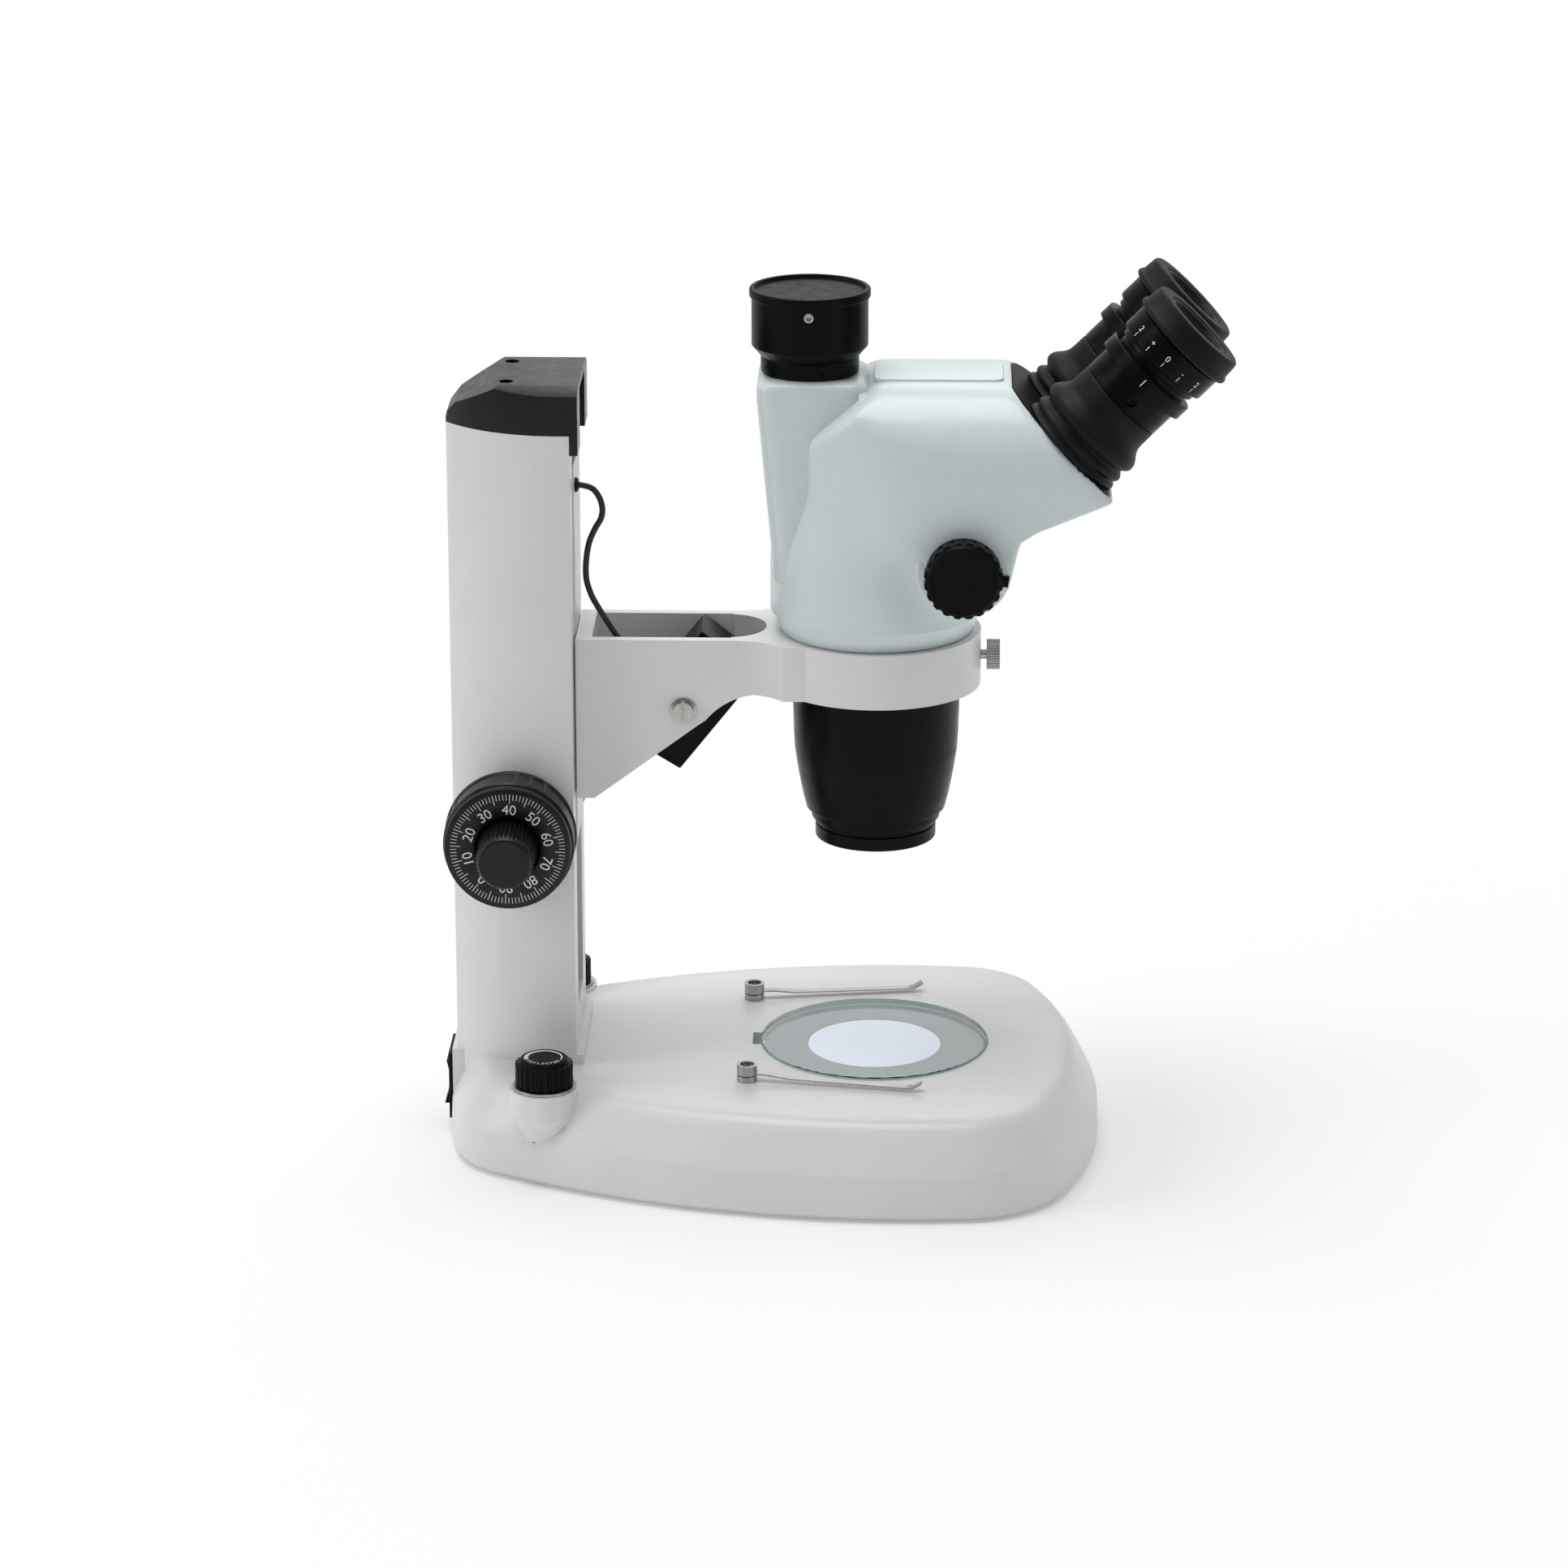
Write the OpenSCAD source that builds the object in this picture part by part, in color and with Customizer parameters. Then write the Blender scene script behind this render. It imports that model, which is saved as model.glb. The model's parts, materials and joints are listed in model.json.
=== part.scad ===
// Trinocular stereo microscope on a lit stand.
// Millimetres. +X is the front, where the eyepieces are, and +Z is up.
// The origin is at table height under the middle of the whole instrument.

/* [Frame] */
// Distance of the optical axis in front of the origin
axis_x = 19; // [10:0.5:30]

/* [Base] */
// Height of the base's flat top above the table
base_h = 39; // [36:0.5:44]
// Reach of the base in front of the optical axis
base_front = 94.3; // [92:0.5:100]
// Reach of the base behind the optical axis
base_back = 178; // [177:0.5:182]
// Half width of the base at its widest
base_half_w = 107.5; // [105:0.5:112]
// Radius of the base's front end
base_front_r = 200; // [180:5:240]
// Radius of the base's two front corners
base_corner_r = 48; // [42:1:54]
// Radius of the base's two long sides
base_side_r = 320; // [300:5:340]
// Radius of the base's two rear corners
base_rear_corner_r = 38; // [34:1:42]
// Width of the sloping shoulder between the skirt and the flat top
base_shoulder = 13; // [11:0.5:14]
// Wall of the hollow base casting
base_wall = 4; // [3:0.25:5]
// Height of the rubber feet under the bottom plate
foot_h = 2; // [1.5:0.25:2.5]
// Radius of a rubber foot
foot_r = 9; // [7:0.5:11]

/* [Stage] */
// Radius of the glass stage plate
stage_r = 47.5; // [45:0.5:50]
// Thickness of the glass stage plate
stage_t = 5; // [4:0.25:6]
// How far the glass stands proud of the base
stage_proud = 1; // [0.5:0.25:1.5]
// Radius of the lit disc
lit_r = 28; // [24:0.5:32]
// Clearance round the glass in its well
stage_gap = 0.3; // [0.2:0.05:0.5]
// Distance of the clip posts behind the optical axis
clip_back = 51.9; // [50:0.5:56]
// Half distance between the clip posts
clip_half = 48.7; // [46:0.5:52]
// Radius of a clip's steel collar
clip_r = 4.2; // [3.8:0.1:5]
// Length of a clip's spring blade
clip_len = 73; // [60:1:80]

/* [Column] */
// Distance of the column's front face behind the optical axis
column_back = 123.2; // [121:0.2:126]
// Depth of the column, front to back
column_d = 51.3; // [50:0.1:52]
// Width of the column
column_w = 65; // [62:0.5:68]
// Wall of the hollow column
column_wall = 3.5; // [3:0.25:4]
// Height of the seam between base and column above the flat top of the base
pedestal_h = 4.3; // [3:0.1:6]
// Height of the column above that seam
column_h = 264.2; // [258:1:272]
// Height of the column cap
cap_h = 18.8; // [16:0.4:22]
// Half width of the slot in the column's front
slot_half = 16; // [14:0.5:18]

/* [Focus] */
// Height of the focus knobs' axis above the table
focus_z = 140.6; // [134:0.2:148]
// Distance of the focus knobs' axis behind the column's front face
focus_in = 25.5; // [24:0.1:27]
// Teeth of the focus pinion
pinion_teeth = 20; // [18:1:21]
// Module of the rack and the pinion
gear_module = 1; // [0.9:0.02:1.02]
// Height of the slider's lower end above the table at rest
slider_z = 124.5; // [122:0.5:127]
// Length of the slider and its rack
slider_len = 167; // [160:1:168]
// Radius of the coarse focus knob
coarse_r = 27; // [25:0.5:29]
// Radius of the fine focus dial
dial_r = 25.4; // [23:0.2:26]
// Radius of the small knurled knob on the fine dial
finger_r = 11; // [9:0.5:13]

/* [Arm] */
// Height of the arm's flat top above the table at rest
arm_z = 219.7; // [214:0.5:224]
// Height of the ring that holds the head
ring_h = 22.7; // [20:0.5:25]
// Bore radius of the ring that holds the head
ring_bore_r = 38; // [37.5:0.1:38.5]
// Outer radius of the ring
ring_r = 42.8; // [42:0.2:44]
// Half width of the arm
arm_half = 22; // [21.5:0.25:23]
// Wall of the arm beside its lamp channel
arm_wall = 4.5; // [3.5:0.25:5]
// Height of the arm's rear foot on the slider
arm_foot_h = 67.7; // [62:0.5:70]
// Distance of the lamp's pivot behind the optical axis
lamp_back = 78.5; // [76:0.5:80]
// Height of the lamp's pivot below the arm's top
lamp_drop = 29.7; // [28:0.5:31]
// Angle of the lamp's face from the horizontal
lamp_angle = 51.6; // [48:0.2:54]
// Width of the lamp's body
lamp_w = 27; // [24:0.5:28]

/* [Head] */
// Height of the head's flat top above the arm
head_h = 108.3; // [106:0.25:110]
// Half width of the head at the eyetubes
head_half = 49.5; // [49:0.25:52]
// Radius of the round lower end of the head
collar_r = 43.5; // [43:0.25:45]
// Radial clearance of the head's spigot in the ring
spigot_gap = 0.08; // [0.05:0.01:0.1]
// Wall of the head's housing
head_wall = 2.8; // [2.4:0.1:3.2]
// Distance of the zoom knobs' axis in front of the optical axis
zoom_x = 35; // [34.5:0.25:36]
// Height of the zoom knobs' axis above the arm
zoom_up = 36.3; // [36:0.1:37]
// Radius of a zoom knob
zoom_r = 15.8; // [14:0.2:17]
// Outer face of a zoom knob from the middle of the head
zoom_face = 60; // [58:0.5:64]
// Radius of the objective barrel at its top
barrel_r = 34.2; // [33.6:0.1:34.8]
// Length of the objective barrel and its nose ring below the arm
barrel_len = 66.5; // [62:0.5:70]
// Radius of the thread for auxiliary lenses
nose_bore_r = 23.6; // [22:0.1:23.8]

/* [Photo port] */
// Distance of the photo port's axis behind the optical axis
port_back = 27.5; // [27:0.25:28]
// Radius of the photo port's tube
port_r = 23.6; // [22.4:0.2:24]
// Radius of the photo port's bore
port_bore_r = 19; // [18:0.25:19.5]
// Height of the photo port with its dust cap above the tower
port_h = 34.5; // [32:0.5:38]

/* [Eyetubes] */
// Distance between the eyetubes at rest
eye_spacing = 52; // [50:0.5:52]
// Angle of the eyetubes above the horizontal
eye_angle = 45; // [45:1:45]
// Distance of the eyetube's foot in front of the optical axis
eye_x = 77.6; // [77.2:0.1:78]
// Radius on which an eyetube swings for eye spacing
swing_r = 18; // [17:0.5:18.5]
// Angle that an eyetube swings through
swing_deg = 35; // [25:1:36]
// Radius of the metal eyetube
tube_r = 18.75; // [18:0.05:19]
// Radius of the rubber eyecup
cup_r = 22.2; // [21.5:0.1:22.8]

/* [Hidden] */
$fn = 64;
fit = 0.05;
seam = 0.3;
thin = 0.01;
PI2 = 6.283185307;

base_floor = foot_h + 1.5;
column_z = base_h + pedestal_h;
column_top = column_z + column_h;
column_rear = column_back + column_d;
column_bow_r = 58;
column_bow_x = column_back + 4.8;
pinion_r = pinion_teeth * gear_module / 2;
focus_x = column_back + focus_in;
rack_face = focus_x - pinion_r;
shaft_r = 6;
bush_r = 9;
ring_z = arm_z - ring_h;
collar_z = arm_z + seam;
collar_h = 8.3;
head_z = collar_z + collar_h;
head_top = arm_z + head_h;
zoom_z = arm_z + zoom_up;
nose_z = arm_z - ring_h - barrel_len;
nose_h = 8.5;
drum_r = 28;
tower_half = 23.5;
tower_front = 4;
tower_rear = 48.6;
plate_sum = eye_x + head_top - 25.1;
eye_z = plate_sum - eye_x;
lamp_z = arm_z - lamp_drop;
boss_face = 46;
knob_x = 134.6;
knob_y = 62;
knob_r = 11.8;
knob_h = 11.3;
well_z = base_h + stage_proud - stage_t;
switch_z = 21;
lid_half = 16;
lid_t = 1.6;

// The lamp cable's route beside the optical axis: back, side and height above the arm at rest
cable_r = 1.25;
cable_points = [
    [125.5, -8, 62], [116.8, -8, 60.5], [113.2, -8, 57], [111.6, -8, 52], [112.1, -8, 47.5],
    [114.6, -8, 43], [117.1, -8, 37], [118.4, -8, 29], [118.4, -8, 22], [116.8, -8, 16],
    [114.4, -8, 11], [108.7, -8, 1.5], [104, -9, -5], [100, -10.5, -9.5], [98, -11, -12.5], [98, -11, -15.4]];

// Shared helpers

// Places its children on the optical axis, at table height
module on_axis() translate([axis_x, 0, 0]) children();

// Draws its children on both sides of the middle plane
module both_sides() {
    children();
    mirror([0, 1, 0]) children();
}

// Turns a Z axis piece to lie along Y, growing to the given side
module along_y(side) rotate([side > 0 ? -90 : 90, 0, 0]) children();

// Extrudes an outline drawn in X and Z by the given half width to each side
module side_profile(half) rotate([90, 0, 0]) translate([0, 0, -half]) linear_extrude(2 * half) children();

// Revolved ring with its profile given as [radius, height] points
module turned(points) rotate_extrude($fn = 96) polygon(points);

// A knob with straight flutes round its rim
module fluted(r, h, count, depth, flute_r) difference() {
    cylinder(r = r, h = h);
    for (i = [0:count - 1]) rotate(360 * i / count)
        translate([r + flute_r - depth, 0, -1]) cylinder(r = flute_r, h = h + 2, $fn = 16);
}

// Centre of a circle of radius r that touches two larger circles from inside
function touching(c1, r1, c2, r2, r, side) =
    let (d1 = r1 - r, d2 = r2 - r, v = c2 - c1, d = norm(v),
         a = (d1 * d1 - d2 * d2 + d * d) / (2 * d), h = sqrt(d1 * d1 - a * a), u = v / d)
    c1 + a * u + side * h * [-u[1], u[0]];

function direction(a, b) = atan2(b[1] - a[1], b[0] - a[0]);

// Points on an arc, from one angle to another, with the first point left to the arc before it
function arc(c, r, from, to, steps) =
    [for (i = [1:steps]) let (t = from + (to - from) * i / steps) c + r * [cos(t), sin(t)]];

// Half of the base's outline in plan, from the middle of the front to the middle of the rear
base_c_front = [base_front - base_front_r, 0];
base_c_side = [10, base_half_w - base_side_r];
inlet_y = base_half_w - 75.5;
base_rear_r = 150;
base_c_rear = [base_rear_r - base_back, 0];
base_c_corner = touching(base_c_front, base_front_r, base_c_side, base_side_r, base_corner_r, 1);
base_c_back = touching(base_c_side, base_side_r, base_c_rear, base_rear_r, base_rear_corner_r, 1);
base_a1 = direction(base_c_front, base_c_corner);
base_a2 = direction(base_c_side, base_c_corner);
base_a3 = direction(base_c_side, base_c_back);
base_a4 = direction(base_c_rear, base_c_back);

function base_half(inset) = concat(
    [[base_front - inset, 0]],
    arc(base_c_front, base_front_r - inset, 0, base_a1, 7),
    arc(base_c_corner, base_corner_r - inset, base_a1, base_a2, 8),
    arc(base_c_side, base_side_r - inset, base_a2, base_a3, 10),
    arc(base_c_back, base_rear_corner_r - inset, base_a3, base_a4, 7),
    arc(base_c_rear, base_rear_r - inset, base_a4, 180, 5));
function base_outline(inset) = let (h = base_half(inset), n = len(h))
    concat(h, [for (i = [n - 2:-1:1]) [h[i][0], -h[i][1]]]);

// A closed solid lofted through the base's outline at [height, inset] levels
module base_loft(levels) {
    rings = [for (l = levels) [for (p = base_outline(l[1])) [p[0], p[1], l[0]]]];
    n = len(rings[0]);
    m = len(rings);
    polyhedron(
        points = [for (ring = rings) each ring],
        faces = concat(
            [[for (i = [0:n - 1]) i]],
            [for (k = [0:m - 2], i = [0:n - 1])
                each [[k * n + i, (k + 1) * n + (i + 1) % n, k * n + (i + 1) % n],
                      [k * n + i, (k + 1) * n + i, (k + 1) * n + (i + 1) % n]]],
            [[for (i = [n - 1:-1:0]) (m - 1) * n + i]]),
        convexity = 4);
}

// The column's outline in plan, drawn smaller by the inset
module column_outline(inset) intersection() {
    translate([-column_rear + inset, -column_w / 2 + inset])
        square([column_d - 2 * inset, column_w - 2 * inset]);
    translate([-column_bow_x, column_bow_r - column_w / 2]) circle(r = column_bow_r - inset, $fn = 128);
    translate([-column_bow_x, column_w / 2 - column_bow_r]) circle(r = column_bow_r - inset, $fn = 128);
}

// Base

module pedestal() translate([0, 0, base_floor + 3]) linear_extrude(column_z - base_floor - 3) union() {
    column_outline(0);
    translate([-column_back - 1, -column_w / 2]) square([4, column_w]);
}

module knob_boss() translate([-knob_x, knob_y, 0]) {
    translate([0, 0, 14]) cylinder(r1 = 6, r2 = 14.3, h = 16);
    translate([0, 0, 30 - thin]) cylinder(r = 14.3, h = base_h + 1.5 - 30);
}

module base_casting() color("ivory") on_axis() difference() {
    union() {
        base_loft([[foot_h - 0.5, 1.2], [foot_h + 1, 0], [foot_h + 15, 0.6], [foot_h + 18, 1.8],
            [base_h - 16, base_shoulder - 9.8], [base_h - 6, base_shoulder - 4.4],
            [base_h - 3, base_shoulder - 2.2], [base_h - 1, base_shoulder],
            [base_h - 0.2, base_shoulder + 2.6], [base_h, base_shoulder + 6]]);
        pedestal();
        both_sides() knob_boss();
        translate([-base_back + 1.5, -13, base_floor + 3]) cube([14, 26, 31.5]);
    }
    // Hollow underside
    difference() {
        base_loft([[-1, base_wall + 0.5], [foot_h + 16, base_wall + 1], [base_h - 9, base_wall + 9],
            [base_h - base_wall - 1, base_wall + 14], [base_h - base_wall, base_wall + 18]]);
        translate([0, 0, base_floor]) cylinder(r = stage_r + 5, h = base_h);
        for (x = [-130, 60], y = [-45, 45]) translate([x, y, base_floor]) cylinder(r = 5, h = base_h);
        both_sides() translate([-knob_x, knob_y, 24]) cylinder(r = 11, h = base_h);
    }
    // Stage well with its ledge, open below for the light
    translate([0, 0, well_z]) cylinder(r = stage_r + stage_gap, h = base_h);
    translate([0, 0, well_z - 1.5]) cylinder(r = stage_r - 1.5, h = 3);
    translate([0, 0, -3]) cylinder(r = stage_r - 4, h = base_h);
    // Finger notch behind the glass
    translate([-stage_r - 3.5, -7, base_h - 6]) cube([8, 14, 10]);
    // Room for the column's bolts and the wires up into the column
    translate([-focus_x, 0, -1]) cylinder(r = 10, h = column_z + 2);
    // Knob shafts and their potentiometers
    both_sides() translate([-knob_x, knob_y, 0]) {
        cylinder(r = 3.4, h = base_h + 5);
        translate([0, 0, -1]) cylinder(r = 8.5, h = 31);
    }
    // Holes for the clip posts and for the pegs of the feet
    both_sides() translate([-clip_back, clip_half, base_h - 8]) cylinder(r = 2, h = 10);
    for (x = [-130, 60], y = [-45, 45]) translate([x, y, base_floor - 1]) cylinder(r = 2, h = 3);
    // Switch opening and power inlet
    translate([-base_back - 1, -10, switch_z - 12.5]) cube([24, 20, 25]);
    translate([-base_back - 4, -12.3, switch_z - 14.8]) cube([5.5, 24.6, 29.6]);
    translate([-base_back - 3, inlet_y, foot_h + 11]) rotate([0, 90, 0]) cylinder(r = 5, h = 24);
}

module bottom_plate() color("dimgray") on_axis() difference() {
    translate([0, 0, foot_h]) linear_extrude(1.5) polygon(base_outline(base_wall + 1));
    for (x = [-130, 60], y = [-45, 45]) translate([x, y, 0]) cylinder(r = 2, h = 10);
    translate([-knob_x, 0, 0]) for (i = [-3:3]) translate([i * 6 + 40, -15, 0]) cube([2.5, 30, 10]);
}

module rubber_feet() color("black") on_axis() for (x = [-130, 60], y = [-45, 45]) translate([x, y, 0]) {
    turned([[0, 0], [foot_r - 0.5, 0], [foot_r, 0.5], [foot_r - 1, foot_h], [0, foot_h]]);
    translate([0, 0, foot_h - thin]) cylinder(r = 1.9, h = 3);
}

module stage_mask_ring() color("gray") on_axis() translate([0, 0, well_z - 1.5]) difference() {
    cylinder(r = stage_r - 1.7, h = 1.4);
    translate([0, 0, -1]) cylinder(r = lit_r, h = 4);
}

module light_diffuser() color("white") on_axis() translate([0, 0, well_z - 1.5]) {
    cylinder(r = lit_r - 0.2, h = 1.4);
    translate([0, 0, -1.5]) cylinder(r = stage_r - 4.3, h = 1.5);
}

module circuit_boards() color("darkgreen") on_axis() {
    // Board of light emitting diodes under the diffuser, on four legs
    translate([0, 0, 16]) {
        cylinder(r = stage_r - 6, h = 1.6);
        for (a = [0:15:345], r = [12, 24, 36]) if (a % (r < 20 ? 60 : 30) == 0)
            rotate(a) translate([r, -1.75, 1.6]) cube([3.5, 3.5, 0.9]);
    }
    for (a = [45:90:315]) rotate(a) translate([34, 0, base_floor]) cylinder(r = 3, h = 16 - base_floor);
    // Driver board behind the stage
    translate([-105, -25, base_floor]) {
        cube([40, 50, 1.6]);
        translate([4, 4, 1.6]) cube([14, 14, 11]);
        translate([24, 30, 1.6]) cube([10, 10, 6]);
        for (y = [6, 16, 26]) translate([32, y, 1.6]) cylinder(r = 3, h = 9);
    }
}

module potentiometers() color("slategray") on_axis() both_sides() translate([-knob_x, knob_y, 0]) {
    translate([0, 0, 20]) cylinder(r = 8.2, h = 9.9);
    translate([0, 0, 29.8]) cylinder(r = 3, h = base_h + 8 - 29.8);
}

module dc_inlet() color("black") on_axis() translate([-base_back + 2.4, inlet_y, foot_h + 11]) rotate([0, 90, 0])
    difference() {
        union() {
            cylinder(r = 4.9, h = 16);
            translate([0, 0, 14]) cylinder(r = 7, h = 3);
        }
        translate([0, 0, -1]) difference() {
            cylinder(r = 3.4, h = 12);
            cylinder(r = 1, h = 12);
        }
    }

module switch_bezel() color("black") on_axis() translate([0, 0, switch_z]) difference() {
    union() {
        translate([-base_back - 0.3, -12, -14.5]) cube([1.8, 24, 29]);
        translate([-base_back, -9.9, -12.4]) cube([18, 19.8, 24.8]);
    }
    translate([-base_back - 1, -8.5, -11.2]) cube([14, 17, 22.4]);
}

module power_rocker() color("black") on_axis() translate([-base_back + 5, 0, switch_z]) {
    side_profile(7.5) polygon([[-2, -9.6], [-7.6, -9.6], [-4.6, 0], [-6.6, 9.6], [-2, 9.6]]);
    along_y(1) translate([0, 0, -8.4]) cylinder(r = 1.5, h = 16.8);
    side_profile(7.5) polygon([[-2.1, -2], [2, -2], [2, 2], [-2.1, 2]]);
}

module clip_posts() color("silver") on_axis() both_sides() translate([-clip_back, clip_half, 0]) {
    translate([0, 0, base_h]) cylinder(r = clip_r, h = 2.6);
    translate([0, 0, base_h - 7.9]) cylinder(r = 1.9, h = 13.5);
}

module stage_clip(side) color("silver") on_axis()
    translate([-clip_back, side * clip_half, base_h]) rotate(side * 9) {
        difference() {
            translate([0, 0, 2.9]) cylinder(r = clip_r, h = 4.2);
            cylinder(r = 1.95, h = 9);
            translate([0, 0, 5.8]) cylinder(r = 2.9, h = 3);
        }
        side_profile(1.9) polygon([[clip_r - 0.6, 3.1], [8, 3.1], [18, 1.9], [clip_len - 8, 1.4],
            [clip_len - 3.5, 1.5], [clip_len, 3.6], [clip_len - 0.4, 4.1], [clip_len - 4, 2.1],
            [clip_len - 8, 1.9], [18, 2.5], [8, 3.8], [clip_r - 0.6, 3.8]]);
    }

module stage_clip_left() stage_clip(-1);
module stage_clip_right() stage_clip(1);

module stage_plate() color("lightcyan") on_axis() translate([0, 0, well_z]) cylinder(r = stage_r, h = stage_t);

module brightness_knob(side) color("black") on_axis() translate([-knob_x, side * knob_y, base_h + 3])
    difference() {
        union() {
            fluted(knob_r, knob_h - 2, 24, 0.7, 1.1);
            translate([0, 0, knob_h - 2 - thin]) cylinder(r1 = knob_r - 0.95, r2 = knob_r - 2.5, h = 2);
        }
        translate([0, 0, -1]) cylinder(r = 3 + fit, h = 6.3);
        translate([0, 0, -1]) difference() {
            cylinder(r = 9.5, h = 7);
            cylinder(r = 5, h = 7);
        }
    }

module brightness_knob_left() brightness_knob(-1);
module brightness_knob_right() brightness_knob(1);

// Column

module column_shell() color("ivory") on_axis() difference() {
    translate([0, 0, column_z]) linear_extrude(column_h) column_outline(0);
    translate([0, 0, column_z - 1]) linear_extrude(column_h + 2) column_outline(column_wall);
    // Front slot for the slider
    translate([-column_back - column_wall - 1, -slot_half, column_z + 16])
        cube([column_wall + 2, 2 * slot_half, column_h]);
    // Bores for the pinion's bushes
    translate([-focus_x, 0, focus_z]) along_y(1) translate([0, 0, -50]) cylinder(r = bush_r, h = 100);
}

module column_cap() color("dimgray") on_axis() difference() {
    intersection() {
        side_profile(column_w / 2) polygon([[-column_back + 3.4, column_top - 8], [-column_back + 3.4, column_top + cap_h],
            [-column_rear + 22.5, column_top + cap_h], [-column_rear + 4.5, column_top + cap_h - 9.4],
            [-column_rear + 0.6, column_top + cap_h - 14], [-column_rear, column_top + 2],
            [-column_rear, column_top], [-column_back, column_top], [-column_back, column_top - 8]]);
        rotate([90, 0, 90]) translate([0, 0, -column_rear - 1]) linear_extrude(column_d + 6) polygon([
            [-column_w / 2, column_top - 9], [column_w / 2, column_top - 9],
            [column_w / 2, column_top + cap_h - 2.5], [column_w / 2 - 8, column_top + cap_h],
            [-column_w / 2 + 8, column_top + cap_h], [-column_w / 2, column_top + cap_h - 2.5]]);
        translate([0, 0, column_top - 20]) linear_extrude(60) union() {
            column_outline(0);
            translate([-column_back - 1, -column_w / 2]) square([4.4, column_w]);
        }
    }
    // Room inside for the slider at the top of its travel
    translate([0, 0, column_top - 1]) linear_extrude(cap_h - 2) intersection() {
        column_outline(column_wall);
        translate([-column_back - 22, -30]) square([30, 60]);
    }
    translate([-column_back - column_wall - 1, -slot_half, column_top - 9]) cube([10, 2 * slot_half, cap_h + 6]);
    // Deep holes of the two fixing screws
    both_sides() translate([-column_back - 26, 17, column_top - 1]) cylinder(r = 2.9, h = 40);
    // Oval finger recess in the sloping rear face
    translate([-column_rear + 13, 0, column_top + cap_h - 4]) rotate([0, -27.5, 0]) both_sides()
        translate([0, 5, 0]) difference() {
            cylinder(r = 7.5, h = 6);
            translate([0, 0, -1]) cylinder(r = 6, h = 8);
        }
}

module cap_screws() color("silver") on_axis() both_sides()
    translate([-column_back - 26, 17, column_top - 8]) difference() {
        union() {
            cylinder(r = 1.9, h = 12);
            translate([0, 0, 12 - thin]) cylinder(r = 2.8, h = 3);
        }
        translate([0, 0, 13.5]) cylinder(r = 1.5, h = 3, $fn = 6);
    }

// Steel rails beside the slider, on ribs of the column
module guide_rails() color("gray") on_axis() both_sides()
    translate([-column_back - 12, 21.3, column_z + 0.2])
        cube([12 - column_wall - 0.1, column_w / 2 - 22.2 - column_wall, column_h - 0.4]);

// Focus

module focus_slider() color("gainsboro") on_axis() difference() {
    translate([0, 0, slider_z]) linear_extrude(slider_len) union() {
        translate([-column_back - 4.2, -slot_half + seam]) square([4.8, 2 * slot_half - 2 * seam]);
        translate([-column_back - 9.8, -21]) square([5.9, 42]);
    }
    // Slanting cuts at both ends of the strip that shows in the slot
    translate([-column_back - 3.9, -slot_half, slider_z]) rotate([0, -60, 0])
        translate([0, 0, -20]) cube([40, 2 * slot_half, 20]);
    // Screw holes behind the arm's foot
    for (z = [arm_z - 15, arm_z - arm_foot_h + 12]) translate([-column_back - 10, 0, z]) rotate([0, 90, 0])
        cylinder(r = 2.1, h = 20);
    // Hole for the lamp cable
    translate([-column_back - 10, -8, arm_z + 61.5]) rotate([0, 90, 0]) cylinder(r = 2.1, h = 20);
}

// One straight rack tooth, as an outline with its tip towards -X
function rack_tooth(z) = let (m = gear_module)
    [[1.25 * m, z - 1.17 * m], [-m, z - 0.36 * m], [-m, z + 0.36 * m], [1.25 * m, z + 1.17 * m]];

rack_pitch = gear_module * PI2 / 2;
rack_low = ceil((slider_z + 2 - focus_z) / rack_pitch - 0.5);
rack_high = floor((slider_z + slider_len - 2 - focus_z) / rack_pitch - 0.5);

module focus_rack() color("silver") on_axis() side_profile(6) polygon(concat(
    [[-column_back - 9.8, slider_z], [-rack_face + 1.25 * gear_module, slider_z]],
    [for (i = [rack_low:rack_high]) each [for (p = rack_tooth(focus_z + (i + 0.5) * rack_pitch)) [p[0] - rack_face, p[1]]]],
    [[-rack_face + 1.25 * gear_module, slider_z + slider_len], [-column_back - 9.8, slider_z + slider_len]]));

// Pinion outline with straight-flanked teeth, one of them pointing at the rack
module pinion_outline() let (m = gear_module) polygon([for (i = [0:pinion_teeth - 1])
    each [for (p = [[pinion_r - 1.25 * m, -1.02 * m], [pinion_r, -0.66 * m], [pinion_r + m, -0.28 * m],
                    [pinion_r + m, 0.28 * m], [pinion_r, 0.66 * m], [pinion_r - 1.25 * m, 1.02 * m]])
        let (a = 360 * i / pinion_teeth) [p[0] * cos(a) - p[1] * sin(a), p[0] * sin(a) + p[1] * cos(a)]]]);

module pinion_shaft() color("silver") on_axis() translate([-focus_x, 0, focus_z]) difference() {
    union() {
        side_profile(7) pinion_outline();
        along_y(1) translate([0, 0, -column_w / 2 - 16]) cylinder(r = shaft_r, h = column_w + 32);
    }
    along_y(1) translate([0, 0, -80]) cylinder(r = 3.5, h = 160);
}

module pinion_bushes() color("goldenrod") on_axis() translate([-focus_x, 0, focus_z]) both_sides()
    along_y(1) difference() {
        union() {
            translate([0, 0, column_w / 2 - 16]) cylinder(r = bush_r - fit, h = 16.8);
            translate([0, 0, column_w / 2 - 16]) cylinder(r = bush_r + 2, h = 2);
        }
        cylinder(r = shaft_r + fit, h = 80);
    }

coarse_y0 = column_w / 2 + 1.2;
coarse_y1 = coarse_y0 + 16.4;

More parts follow.
